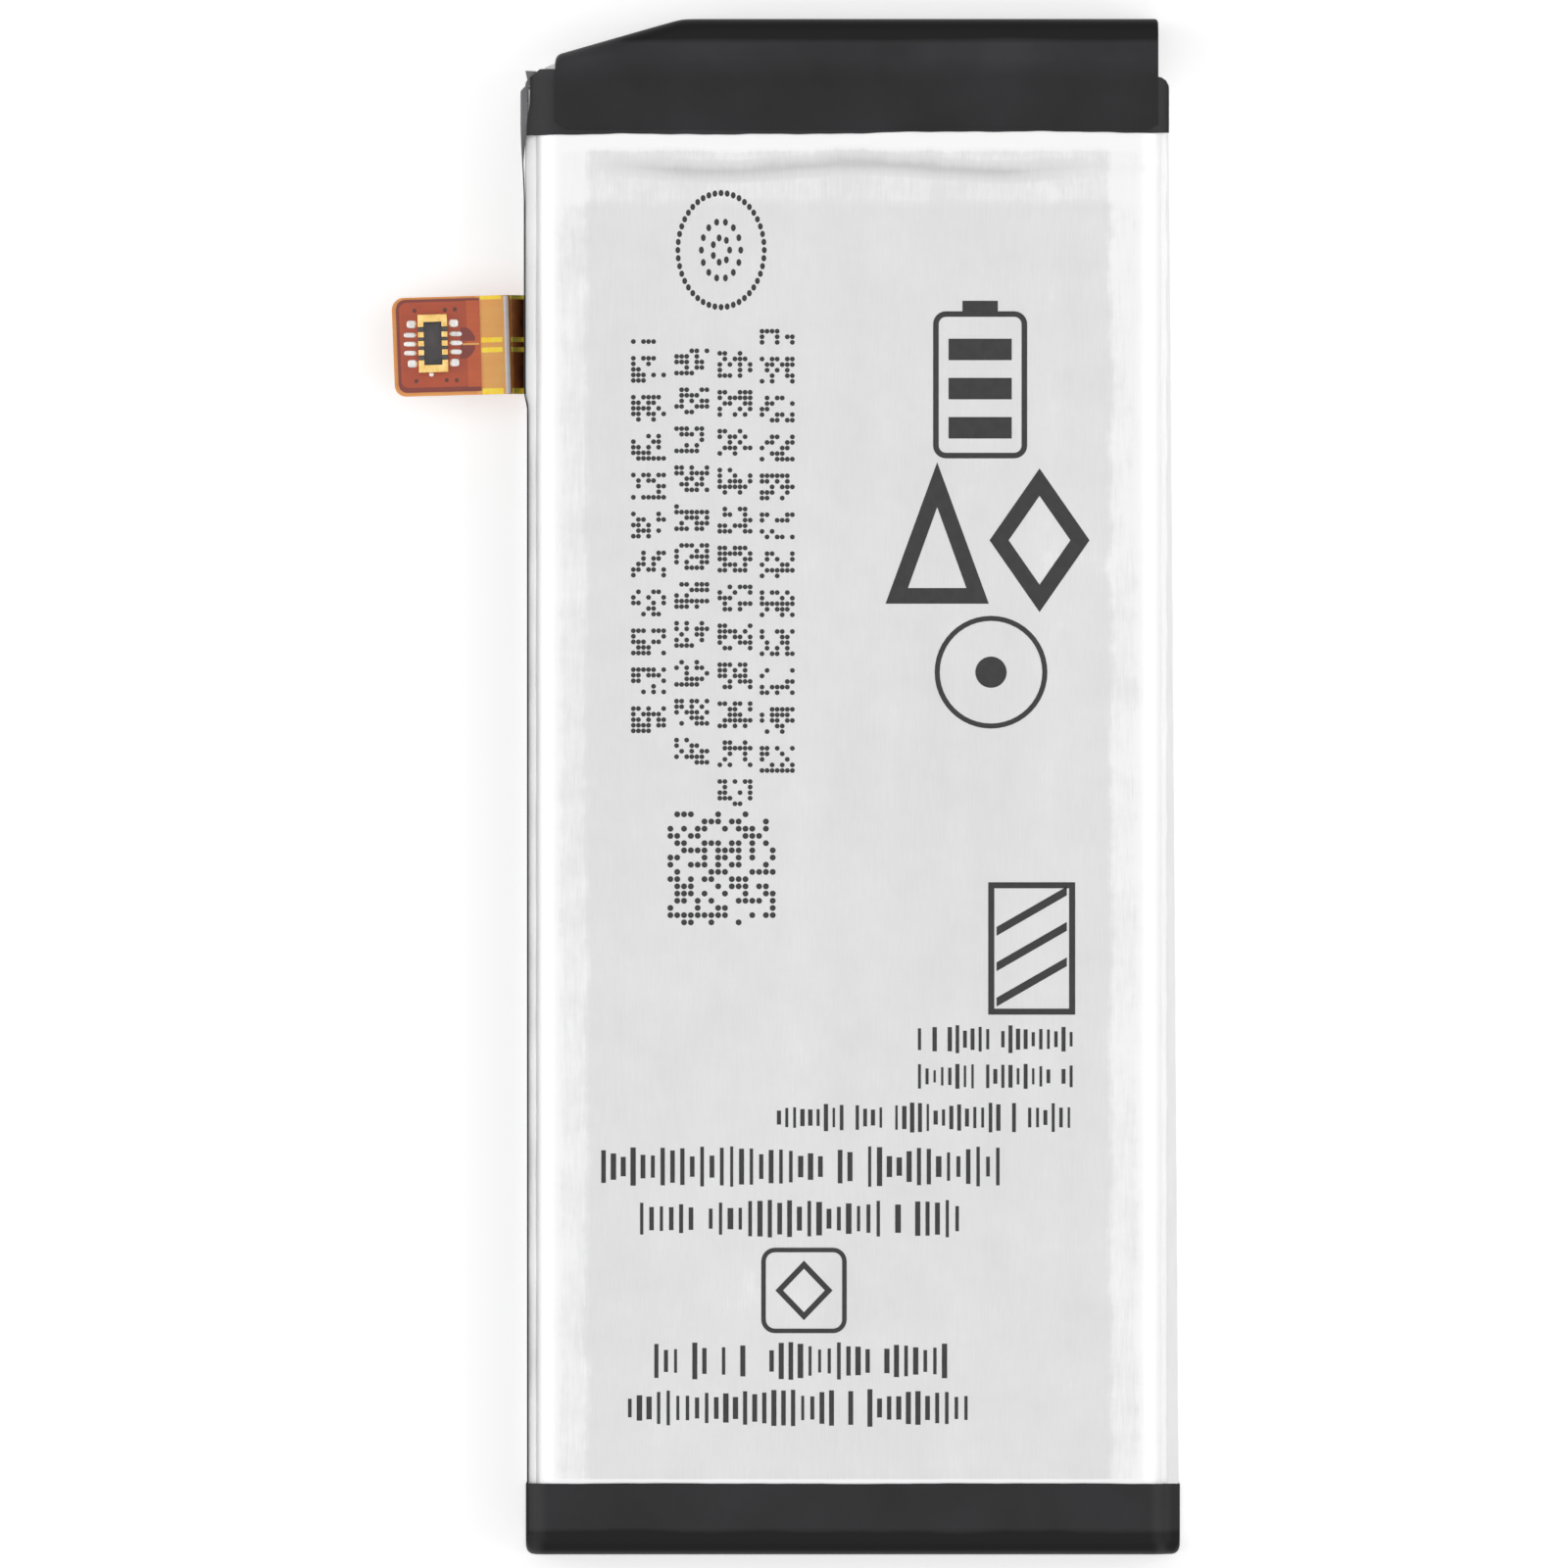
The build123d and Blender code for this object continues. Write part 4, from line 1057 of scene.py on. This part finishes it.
def ribbon_piece(name, x_span, offsets, lift, material, round_end=0.0):
    """Sheet on the ribbon between two places in X, between two offsets across, between two lifts."""
    path = ribbon_path[(ribbon_path[:, 0] >= x_span[0] - 1e-6) & (ribbon_path[:, 0] <= x_span[1] + 1e-6)]
    path = path[::-1]
    ends = [path[0]] if path[0][0] - x_span[0] < 1e-3 else [np.array([x_span[0], path[0][1]]), path[0]]
    path = np.vstack([ends, path[1:]])
    if x_span[1] < crease_x - 0.1 and x_span[1] - path[-1][0] > 1e-3:
        path = np.vstack([path, [x_span[1], path[-1][1]]])
    normals = path_normals(path)
    if normals[0][1] < 0:
        normals = -normals
    middle, half = (offsets[0] + offsets[1]) / 2, (offsets[1] - offsets[0]) / 2
    across = np.linspace(offsets[0], offsets[1], 25 if half > 0.5 else 5)
    grids = []
    for height in lift:
        grid = []
        for (x, z), n in zip(path, normals):
            cut = rounding(round_end, x - x_span[0])
            turned = crease_turn * float(smoothstep(-13.0, -13.45, x))
            row = []
            for a in across:
                y = tail_centre + middle + (a - middle) * (1 - cut / half) + float(tail_shift(x))
                row.append((x + n[0] * height + turned * a, y, z + n[1] * height))
            grid.append(row)
        grids.append(np.array(grid))
    return shell(name, grids[1], grids[0], material)


print("tail is", round(2 * tail_half, 2), "mm wide and", tail_length, "mm long")

# %% [markdown]
# The sheets lie on each other in the order in which they are laminated: stiffener, film, copper,
# cover and mask. Each is a few hundredths of a millimetre thick, and those on top are a little
# smaller than those below, so every layer's edge can be seen.

# %% ribbon sheets: film, cover and painted crease highlight
edge = inset(0.01, 0.01)
film = ribbon_piece("ribbon_film", (free_end, -12.70), inset(0, 0), (-0.025, 0.025), amber, end_radius_out)
hook_skin = ribbon_piece("hook_cover", (crease_x + 0.16, -12.74), edge, (0.025, 0.045), hook_painted_shade)
cover = ribbon_piece("ribbon_cover", (crease_x - 1.22, crease_x - 0.08), edge, (0.025, 0.075), coverlay)
# The pale sheet over the crease is a painted highlight along the bend.
crease_span = (crease_x - 0.09, crease_x + 0.06)
crease_highlight_sheet = ribbon_piece("ribbon_crease_highlight", crease_span, inset(0.02, 0.02), (0.022, 0.082), crease_highlight)
for made in (film, hook_skin, cover, crease_highlight_sheet):
    report(made)

# %% ribbon sheets: copper stripes
stripe_places = ((-1.955, -1.72), (-0.295, -0.10), (0.10, 0.295), (1.80, 1.955))
tail_run, hook_run = (crease_x - 1.02, crease_x - 0.18), (crease_x + 0.14, crease_x + 0.74)
stripes = []
for number, across in enumerate(stripe_places, 1):
    stripes.append(ribbon_piece(f"stripe_tail_{number}", tail_run, across, (0.06, 0.080), gold_copper))
    # hook stripes take the lighter gold, painted light against the shade
    stripes.append(ribbon_piece(f"stripe_hook_{number}", hook_run, across, (0.03, 0.056), gold_hook_painted_light))
print("copper stripes", len(stripes))

# %% ribbon sheets: mask and stiffener
rim_span, land_span = (free_end + 0.16, crease_x - 1.06), (free_end + 0.28, crease_x - 1.58)
light_span, backing_span = (crease_x - 1.59, crease_x - 1.05), (free_end + 0.02, crease_x - 1.08)
rim = ribbon_piece("mask_rim", rim_span, inset(0.15, 0.09), (0.02, 0.129), mask_rim, 0.36)
land = ribbon_piece("connector_land", land_span, inset(0.34, 0.20), (0.02, 0.135), brown_mask, 0.30)
light_land = ribbon_piece("mask_light_end", light_span, inset(0.32, 0.18), (0.02, 0.132), mask_light)
backing = ribbon_piece("tail_backing", backing_span, inset(0.02, 0.02), (-0.27, -0.025), stiff_amber, 0.45)
for made in (rim, land, light_land, backing):
    report(made)

# %% [markdown]
# Solder wicks up each contact's foot and wets its pad, so it is a smooth mound, not a block.
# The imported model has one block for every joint; each block's box is read from its separate
# islands, and a mound with a soft skirt fills that box.

# %% solder mounds
def island_boxes(node):
    """Box of each separate solid in a CAD node, in millimetres."""
    work = bmesh.new()
    work.from_mesh(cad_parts[node].data)
    bmesh.ops.remove_doubles(work, verts=work.verts, dist=2e-7)
    seen, boxes = set(), []
    for start in work.verts:
        if start.index in seen:
            continue
        stack, members = [start], []
        seen.add(start.index)
        while stack:
            vertex = stack.pop()
            members.append(vertex.co.copy())
            for edge in vertex.link_edges:
                other = edge.other_vert(vertex)
                if other.index not in seen:
                    seen.add(other.index)
                    stack.append(other)
        found = np.array(members) / MM
        boxes.append((found.min(0), found.max(0)))
    work.free()
    return boxes


def solder_mounds(name, boxes, seed):
    """One closed mound in each box, a little uneven."""
    chance = np.random.default_rng(seed)
    rings, around = 7, 20
    points, faces = [], []
    for low, high in boxes:
        middle, size = (low + high) / 2, (high - low) / 2
        swell = chance.uniform(0.92, 1.12)
        faces += stack_faces(len(points), rings, around)
        for share in np.arange(rings) / (rings - 1):
            height = low[2] + (high[2] - low[2]) * (1 - (1 - share) ** 2.2) * swell * 0.94
            narrow = max((1 - share**2.4) ** 0.5, 0.02)
            for k in range(around):
                c, s = math.cos(2 * math.pi * k / around), math.sin(2 * math.pi * k / around)
                x = math.copysign(abs(c) ** 0.55, c) * size[0] * narrow
                y = math.copysign(abs(s) ** 0.55, s) * size[1] * narrow
                points.append((middle[0] + x, middle[1] + y, height))
    return mesh_object(name, points, faces, solder)


joints = island_boxes("connector_solder")
mounds = solder_mounds("solder_mounds", joints, 3)
print("solder joints", len(joints))
report(mounds)

# %% [markdown]
# Small plated holes and two raised plum-coloured pads show through the mask. They are shallow
# domes a few hundredths of a millimetre high, on the mask round the connector.

# %% vias and pads
def domes(name, places, size, height, material):
    """Shallow domes of one size, all on the mask."""
    rings, around = 4, 18
    points, faces = [], []
    for px, py in places:
        faces += stack_faces(len(points), rings, around)
        for share in np.arange(rings) / rings:
            wide, deep = (radius * math.sqrt(1 - share**2) for radius in size)
            for a in 2 * math.pi * np.arange(around) / around:
                point = (px + wide * math.cos(a), py + deep * math.sin(a))
                points.append((*point, land_top - 0.004 + height * share))
    return mesh_object(name, points, faces, material)


land_top = tail_z + 0.135
upper_vias = [(-17.20, 18.85), (-15.99, 18.89), (-15.60, 18.91)]
lower_vias = [(-17.12, 16.06), (-15.92, 16.10), (-15.52, 16.10)]
vias = domes("plated_holes", upper_vias + lower_vias, (0.085, 0.085), 0.015, via_brown)


def build_pads():
    """Two half-lens pads that narrow towards the centre stripes."""
    flat = [(-15.38, 0.09), (-14.80, 0.09), (-14.80, 0.24)]
    lens = [(-14.90, 0.40), (-15.02, 0.54), (-15.16, 0.62), (-15.38, 0.62)]
    points, faces = [], []
    for side in (1, -1):
        faces += prism_faces(len(points), len(flat + lens))
        for level in (land_top - 0.01, land_top + 0.008):
            points += [(x, 17.575 + side * y, level) for x, y in flat + lens]
    return mesh_object("raised_pads", points, faces, plum, smooth=False)


pads = build_pads()
line_span = (crease_x - 1.76, crease_x - 1.10)
mask_line = ribbon_piece("mask_line", line_span, (0.02, 0.09), (0.125, 0.139), coverlay)
flux = domes("flux_bead", [(-16.52, 16.34)], (0.10, 0.11), 0.06, solder)
for made in (vias, pads, mask_line, flux):
    report(made)

# %% [markdown]
# Every piece but two is now tied to the body that carries it. The film and the painted crease
# highlight cross from the pack to the tail at the crease, so their place is baked into their
# meshes and they are tied to neither body. The imported nodes they stand for are hidden.

# %% bodies and replaced nodes of the circuit
for made in (film, crease_highlight_sheet):
    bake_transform(made)
for made in (strip, hook_skin, side_tape, corner_flap, corner_fold):
    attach(made, "pack")
for made in (cover, rim, land, light_land, mask_line, backing, mounds, vias, pads, flux):
    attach(made, "tail")
for made in stripes:
    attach(made, "tail" if "tail" in made.name else "pack")
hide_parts("flex_run")
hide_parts("flex_run_traces")
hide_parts("tape_side")
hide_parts("tail_film")
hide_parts("tail_coverlay")
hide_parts("tail_traces")
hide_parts("tail_land")
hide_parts("tail_stiffener")
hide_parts("connector_solder")

# %% [markdown]
# The face carries printed marks in dark grey ink: ink-jet dots in columns, a dotted oval, a
# square field of dots, a few line icons and rows of short bars where such packs have text.
# Dots and bars repeat, so Geometry Nodes lay them out. Each tree has named inputs and a fixed
# seed, ends in Realize Instances and Set Material, and becomes a plain mesh. The ink is then
# pressed on the face, a few thousandths of a millimetre above the foil.

# %% helpers for node trees
INK = 0.006


def new_tree(name, inputs):
    """Geometry tree and the identifiers of its named inputs."""
    tree = bpy.data.node_groups.new(name, "GeometryNodeTree")
    identifiers = {}
    for label, kind, value in inputs:
        socket = tree.interface.new_socket(label, in_out="INPUT", socket_type=kind)
        socket.default_value = value
        identifiers[label] = socket.identifier
    tree.interface.new_socket("Geometry", in_out="OUTPUT", socket_type="NodeSocketGeometry")
    return tree, identifiers


def tree_math(tree, operation, a, b):
    return add_node(tree, "ShaderNodeMath", {0: a, 1: b}, operation=operation).outputs[0]


def by_chance(tree, given):
    """True for a share of the points, drawn with the tree's seed."""
    links = {"Probability": given["Share"], "Seed": given["Seed"]}
    return add_node(tree, "FunctionNodeRandomValue", data_type="BOOLEAN", links=links).outputs[3]


def dot_shape(tree, given):
    """One flat dot of ink."""
    size = {"Vertices": 10, "Radius": given["Dot Radius"], "Depth": INK * MM}
    return add_node(tree, "GeometryNodeMeshCylinder", size).outputs["Mesh"]


def end_tree(tree, instances):
    """Realize Instances, Set Material and the output."""
    real = add_node(tree, "GeometryNodeRealizeInstances", {"Geometry": instances})
    inked = add_node(tree, "GeometryNodeSetMaterial", {"Geometry": real.outputs[0], "Material": ink})
    add_node(tree, "NodeGroupOutput", {"Geometry": inked.outputs[0]})


def grown(name, tree, identifiers, **values):
    """Plain mesh object from a tree, with its inputs set by name."""
    made = add_object(name, bpy.data.meshes.new(name))
    modifier = made.modifiers.new("grow", "NODES")
    modifier.node_group = tree
    for label, value in values.items():
        modifier[identifiers[label.replace("_", " ")]] = value
    plain_mesh(made)
    return made


print("ink lies", INK, "mm thick on the foil")

# %% [markdown]
# A field of dots is a grid of points with a dot on some of them. Rows are counted in groups, of
# which only the first are used, so the dots fall into blocks like marks from an ink-jet head.

# %% tree for fields of dots
def dots_tree():
    tree, names = new_tree("dot_field", [
        ("Across", "NodeSocketInt", 7),
        ("Along", "NodeSocketInt", 70),
        ("Pitch Across", "NodeSocketFloat", 0.0002),
        ("Pitch Along", "NodeSocketFloat", 0.00022),
        ("Dot Radius", "NodeSocketFloat", 0.000098),
        ("Share", "NodeSocketFloat", 0.52),
        ("Group", "NodeSocketInt", 7),
        ("Used", "NodeSocketInt", 5),
        ("Seed", "NodeSocketInt", 1),
    ])
    given = add_node(tree, "NodeGroupInput").outputs

    def reach(count, pitch):
        return tree_math(tree, "MULTIPLY", tree_math(tree, "SUBTRACT", given[count], 1.0), given[pitch])

    field = add_node(tree, "GeometryNodeMeshGrid", {
        "Size X": reach("Across", "Pitch Across"),
        "Size Y": reach("Along", "Pitch Along"),
        "Vertices X": given["Across"],
        "Vertices Y": given["Along"],
    })
    index = add_node(tree, "GeometryNodeInputIndex").outputs[0]
    row = tree_math(tree, "MODULO", index, given["Along"])
    inside = tree_math(tree, "LESS_THAN", tree_math(tree, "MODULO", row, given["Group"]), given["Used"])
    chosen = {0: inside, 1: by_chance(tree, given)}
    both = add_node(tree, "FunctionNodeBooleanMath", chosen, operation="AND")
    placed = add_node(tree, "GeometryNodeInstanceOnPoints", {
        "Points": field.outputs["Mesh"],
        "Selection": both.outputs[0],
        "Instance": dot_shape(tree, given),
    })
    end_tree(tree, placed.outputs[0])
    return tree, names


field_tree, field_names = dots_tree()
print("dot field inputs", list(field_names))

# %% [markdown]
# The oval is a circle of points with a dot on each, stretched afterwards along the cell.

# %% tree for rings of dots
def ring_tree():
    tree, names = new_tree("dot_ring", [
        ("Count", "NodeSocketInt", 40),
        ("Radius", "NodeSocketFloat", 0.002),
        ("Dot Radius", "NodeSocketFloat", 0.000098),
    ])
    given = add_node(tree, "NodeGroupInput").outputs
    ring = add_node(tree, "GeometryNodeMeshCircle", {"Vertices": given["Count"], "Radius": given["Radius"]})
    links = {"Points": ring.outputs[0], "Instance": dot_shape(tree, given)}
    placed = add_node(tree, "GeometryNodeInstanceOnPoints", links)
    end_tree(tree, placed.outputs[0])
    return tree, names


oval_tree, oval_names = ring_tree()
print("dot ring inputs", list(oval_names))

# %% [markdown]
# Where such packs carry lines of text, a row of short bars stands for it. A line of points
# carries a block on most of them, and the blocks' widths and heights are drawn at random.

# %% tree for rows of bars
def bars_tree():
    tree, names = new_tree("bar_row", [
        ("Count", "NodeSocketInt", 20),
        ("Pitch", "NodeSocketFloat", 0.0003),
        ("Bar Width", "NodeSocketFloat", 0.00014),
        ("Row Height", "NodeSocketFloat", 0.0012),
        ("Share", "NodeSocketFloat", 0.88),
        ("Seed", "NodeSocketInt", 1),
    ])
    given = add_node(tree, "NodeGroupInput").outputs
    offset = add_node(tree, "ShaderNodeCombineXYZ", {"X": given["Pitch"]})
    line = add_node(tree, "GeometryNodeMeshLine", {"Count": given["Count"], "Offset": offset.outputs[0]})

    def limits(width_share, height_share):
        width = tree_math(tree, "MULTIPLY", given["Bar Width"], width_share)
        height = tree_math(tree, "MULTIPLY", given["Row Height"], height_share)
        return add_node(tree, "ShaderNodeCombineXYZ", {"X": width, "Y": height, "Z": INK * MM}).outputs[0]

    drawn = {0: limits(0.75, 0.45), 1: limits(1.45, 1.0), "Seed": given["Seed"]}
    size = add_node(tree, "FunctionNodeRandomValue", data_type="FLOAT_VECTOR", links=drawn)
    block = add_node(tree, "GeometryNodeMeshCube", {"Size": (1.0, 1.0, 1.0)})
    placed = add_node(tree, "GeometryNodeInstanceOnPoints", {
        "Points": line.outputs[0],
        "Selection": by_chance(tree, given),
        "Instance": block.outputs["Mesh"],
        "Scale": size.outputs[0],
    })
    end_tree(tree, placed.outputs[0])
    return tree, names


row_tree, row_names = bars_tree()
print("bar row inputs", list(row_names))

# %% [markdown]
# The foil is not flat, so a print is moved to its place and each of its points is lifted to
# the height of the face there. A print that ignored the relief would sink in or float.

# %% pressing ink on the face
printed = []


def press(made, centre=(0.0, 0.0), stretch=1.0):
    """Move a flat print to its place on the face and let it follow the foil."""
    mesh = made.data
    co = np.zeros(len(mesh.vertices) * 3)
    mesh.vertices.foreach_get("co", co)
    co = co.reshape(-1, 3) / MM
    co[:, 1] *= stretch
    co[:, :2] += centre
    co[:, 2] += cup_front + face_relief(co[:, 0], co[:, 1]) + INK
    mesh.vertices.foreach_set("co", (co * MM).ravel())
    mesh.update()
    printed.append(made)
    return made


print("face at", round(cup_front, 2), "mm, ready to print on")

# %% dots on the face
columns = ((-7.92, 2.05, 17.77), (-6.21, 0.88, 17.77), (-4.50, -0.86, 17.77), (-2.83, 0.50, 18.16))
for number, (x, low, high) in enumerate(columns, 1):
    count = int((high - low) / 0.222) + 1
    name = f"printed_column_{number}"
    press(grown(name, field_tree, field_names, Along=count, Seed=number + 10), (x, (low + high) / 2))
square = {"Across": 16, "Along": 16, "Group": 16, "Used": 16, "Share": 0.52, "Seed": 4}
square |= {"Pitch Across": 0.27 * MM, "Pitch Along": 0.285 * MM, "Dot Radius": 0.12 * MM}
press(grown("printed_dot_square", field_tree, field_names, **square), (-5.03, -3.23))
oval_centre = (-5.05, 21.23)
press(grown("printed_oval", oval_tree, oval_names, Count=44, Radius=1.71 * MM), oval_centre, 1.32)
for number, (radius, count) in enumerate(((0.78, 14), (0.34, 7)), 1):
    name = f"printed_oval_inner_{number}"
    press(grown(name, oval_tree, oval_names, Count=count, Radius=radius * MM), oval_centre, 1.45)
print("dot prints", len(printed))

# %% rows of bars on the face
rows = (
    (2.80, 8.85, -9.99, 1.15, 0.30),
    (2.80, 8.80, -11.46, 1.05, 0.30),
    (-2.76, 8.80, -13.09, 1.20, 0.31),
    (-9.70, 6.06, -15.03, 1.60, 0.39),
    (-8.19, 4.43, -17.09, 1.60, 0.39),
    (-7.61, 4.11, -22.72, 1.50, 0.38),
    (-8.66, 5.28, -24.58, 1.50, 0.38),
)
for number, (left, right, level, height, pitch) in enumerate(rows, 1):
    bars = {"Count": int((right - left) / pitch) + 1, "Pitch": pitch * MM, "Seed": number * 7}
    bars |= {"Bar Width": 0.40 * pitch * MM, "Row Height": height * MM}
    press(grown(f"printed_bars_{number}", row_tree, row_names, **bars), (left, level))
print("rows of bars", len(rows))

# %% [markdown]
# The icons are plain line drawings: a battery outline with three bars, a triangle and a
# diamond, a ring with a dot, a hatched box and a rounded box with a diamond. A stroke is a
# closed flat band between two copies of an outline, one moved in and one out.

# %% strokes for icons
icon_points, icon_faces = [], []


def stroke(outline, width):
    """Closed band of ink along a closed outline."""
    path = np.array(outline, float)
    n, start = len(path), len(icon_points)
    before, after = np.roll(path, 1, axis=0), np.roll(path, -1, axis=0)
    u = (path - before) / np.linalg.norm(path - before, axis=1)[:, None]
    v = (after - path) / np.linalg.norm(after - path, axis=1)[:, None]
    normal = np.column_stack([-(u + v)[:, 1], (u + v)[:, 0]])
    normal /= np.linalg.norm(normal, axis=1)[:, None]
    slope = np.einsum("ij,ij->i", normal, np.column_stack([-u[:, 1], u[:, 0]]))
    reach = width / 2 / np.clip(slope, 0.35, 1)
    for level in (0.0, INK):
        for side in (1, -1):
            icon_points.extend([(x, y, level) for x, y in path + side * normal * reach[:, None]])
    for i in range(n):
        j = (i + 1) % n
        a, b, c, d = (start + k * n for k in range(4))
        icon_faces.extend([
            (a + i, a + j, b + j, b + i),
            (c + i, d + i, d + j, c + j),
            (a + i, c + i, c + j, a + j),
            (b + i, b + j, d + j, d + i),
        ])


def filled(outline):
    """Closed flat patch of ink inside an outline."""
    icon_faces.extend(prism_faces(len(icon_points), len(outline)))
    for level in (0.0, INK):
        icon_points.extend([(x, y, level) for x, y in outline])


def box_outline(x, y, width, height, corner=0.0):
    if not corner:
        return [(x + a * width / 2, y + b * height / 2) for a, b in ((-1, -1), (1, -1), (1, 1), (-1, 1))]
    made = []
    for a, b, start in ((1, -1, -90), (1, 1, 0), (-1, 1, 90), (-1, -1, 180)):
        centre = (x + a * (width / 2 - corner), y + b * (height / 2 - corner))
        for turn in np.radians(np.linspace(start, start + 90, 7)):
            made.append((centre[0] + corner * math.cos(turn), centre[1] + corner * math.sin(turn)))
    return made


def round_outline(x, y, radius, count=48):
    turns = np.linspace(0, 2 * math.pi, count, endpoint=False)
    return [(x + radius * math.cos(a), y + radius * math.sin(a)) for a in turns]


# %% icons on the face
battery_x = 5.20
stroke(box_outline(battery_x, 15.90, 3.5, 5.6, 0.4), 0.22)
filled(box_outline(battery_x, 19.00, 1.4, 0.45))
for level in (14.2, 15.75, 17.3):
    filled(box_outline(battery_x, level, 2.5, 0.85))
stroke([(1.90, 7.55), (5.10, 7.55), (3.50, 11.95)], 0.62)
stroke([(5.95, 9.75), (7.55, 7.45), (9.15, 9.75), (7.55, 12.05)], 0.62)
ring_centre = (5.63, 4.53)
stroke(round_outline(*ring_centre, 2.13), 0.20)
filled(round_outline(*ring_centre, 0.62, 28))
stroke(box_outline(7.24, -6.40, 3.2, 5.0), 0.24)
for low in (-8.7, -7.3, -5.9):
    filled([(5.85, low), (5.85, low + 0.35), (8.63, low + 1.95), (8.63, low + 1.60)])
frame_centre = (-1.77, -19.93)
stroke(box_outline(*frame_centre, 3.2, 3.2, 0.45), 0.18)
stroke([(-2.75, -19.93), (-1.77, -20.95), (-0.79, -19.93), (-1.77, -18.91)], 0.22)
press(mesh_object("printed_icons", icon_points, icon_faces, ink, smooth=False))
for made in printed:
    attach(made, "pack")
print("prints", len(printed))

# %% [markdown]
# The pack lies on a pale table. The floor and the world look white to the camera and in
# reflections, but the lamps are at a plain level, so colours render about as written. Three
# large soft lamps stand round the pack: the side ones brighten its rounded shoulders.

# %% floor, world and lamps
def seen_share(tree):
    """1 for rays that show the background: seen directly, in gloss, or through glass."""
    path = add_node(tree, "ShaderNodeLightPath").outputs
    found = path["Is Camera Ray"]
    for name in ("Is Glossy Ray", "Is Transmission Ray"):
        found = tree_math(tree, "MAXIMUM", found, path[name])
    return found


def build_floor():
    size, level = 1.2, -0.0002
    mesh = bpy.data.meshes.new("floor")
    corners = [(-size, -size, level), (size, -size, level), (size, size, level), (-size, size, level)]
    mesh.from_pydata(corners, [], [(0, 1, 2, 3)])
    paint = bpy.data.materials.new("pale_floor")
    paint.use_nodes = True
    tree = paint.node_tree
    shader = tree.nodes["Principled BSDF"]
    shader.inputs["Base Color"].default_value = (0.9, 0.9, 0.9, 1)
    shader.inputs["Roughness"].default_value = 0.8
    shader.inputs["Emission Color"].default_value = (1, 1, 1, 1)
    glow = tree_math(tree, "MULTIPLY", seen_share(tree), 0.46)
    tree.links.new(glow, shader.inputs["Emission Strength"])
    mesh.materials.append(paint)
    add_object("floor", mesh)


def build_world(strength):
    """White where it is seen, and a weaker light on what isn't glossy."""
    world = bpy.data.worlds.new("studio")
    bpy.context.scene.world = world
    world.use_nodes = True
    tree = world.node_tree
    back = tree.nodes["Background"]
    back.inputs["Color"].default_value = (1, 1, 1, 1)
    mix = add_node(tree, "ShaderNodeMix", {"Factor": seen_share(tree), "A": strength, "B": 1.0})
    tree.links.new(mix.outputs["Result"], back.inputs["Strength"])


def build_lamp(name, place, size, power):
    """Soft lamp that looks at the pack's middle."""
    data = bpy.data.lights.new(name, "AREA")
    data.shape = "RECTANGLE"
    data.size, data.size_y = size
    data.energy = power
    made = add_object(name, data)
    made.location = place
    made.rotation_euler = (Vector((0, 0, 0)) - Vector(place)).to_track_quat("-Z", "Y").to_euler()


build_floor()
build_world(0.20)
build_lamp("overhead_soft", (0, 0, 2.2), (3.6, 3.6), 22)
build_lamp("left_soft", (-0.34, 0, 0.14), (0.30, 0.5), 0.66)
build_lamp("right_soft", (0.34, 0, 0.14), (0.30, 0.5), 0.66)

# %% [markdown]
# The camera looks straight down on the face through a very long lens, from far enough away
# that the pack's sides hardly show.

# %% camera
def build_camera():
    view_width, centre = 62.11 * MM, (-2.56 * MM, 0.107 * MM, 1.8 * MM)
    data = bpy.data.cameras.new("camera")
    data.sensor_width = 36.0
    data.lens = 900.0
    distance = view_width * data.lens / data.sensor_width
    data.clip_start, data.clip_end = 0.1, 10.0
    made = add_object("camera", data)
    made.location = (centre[0], centre[1], centre[2] + distance)
    bpy.context.scene.camera = made
    print("camera", round(distance, 3), "m above the face")


build_camera()
bpy.context.scene.view_settings.view_transform = "Standard"
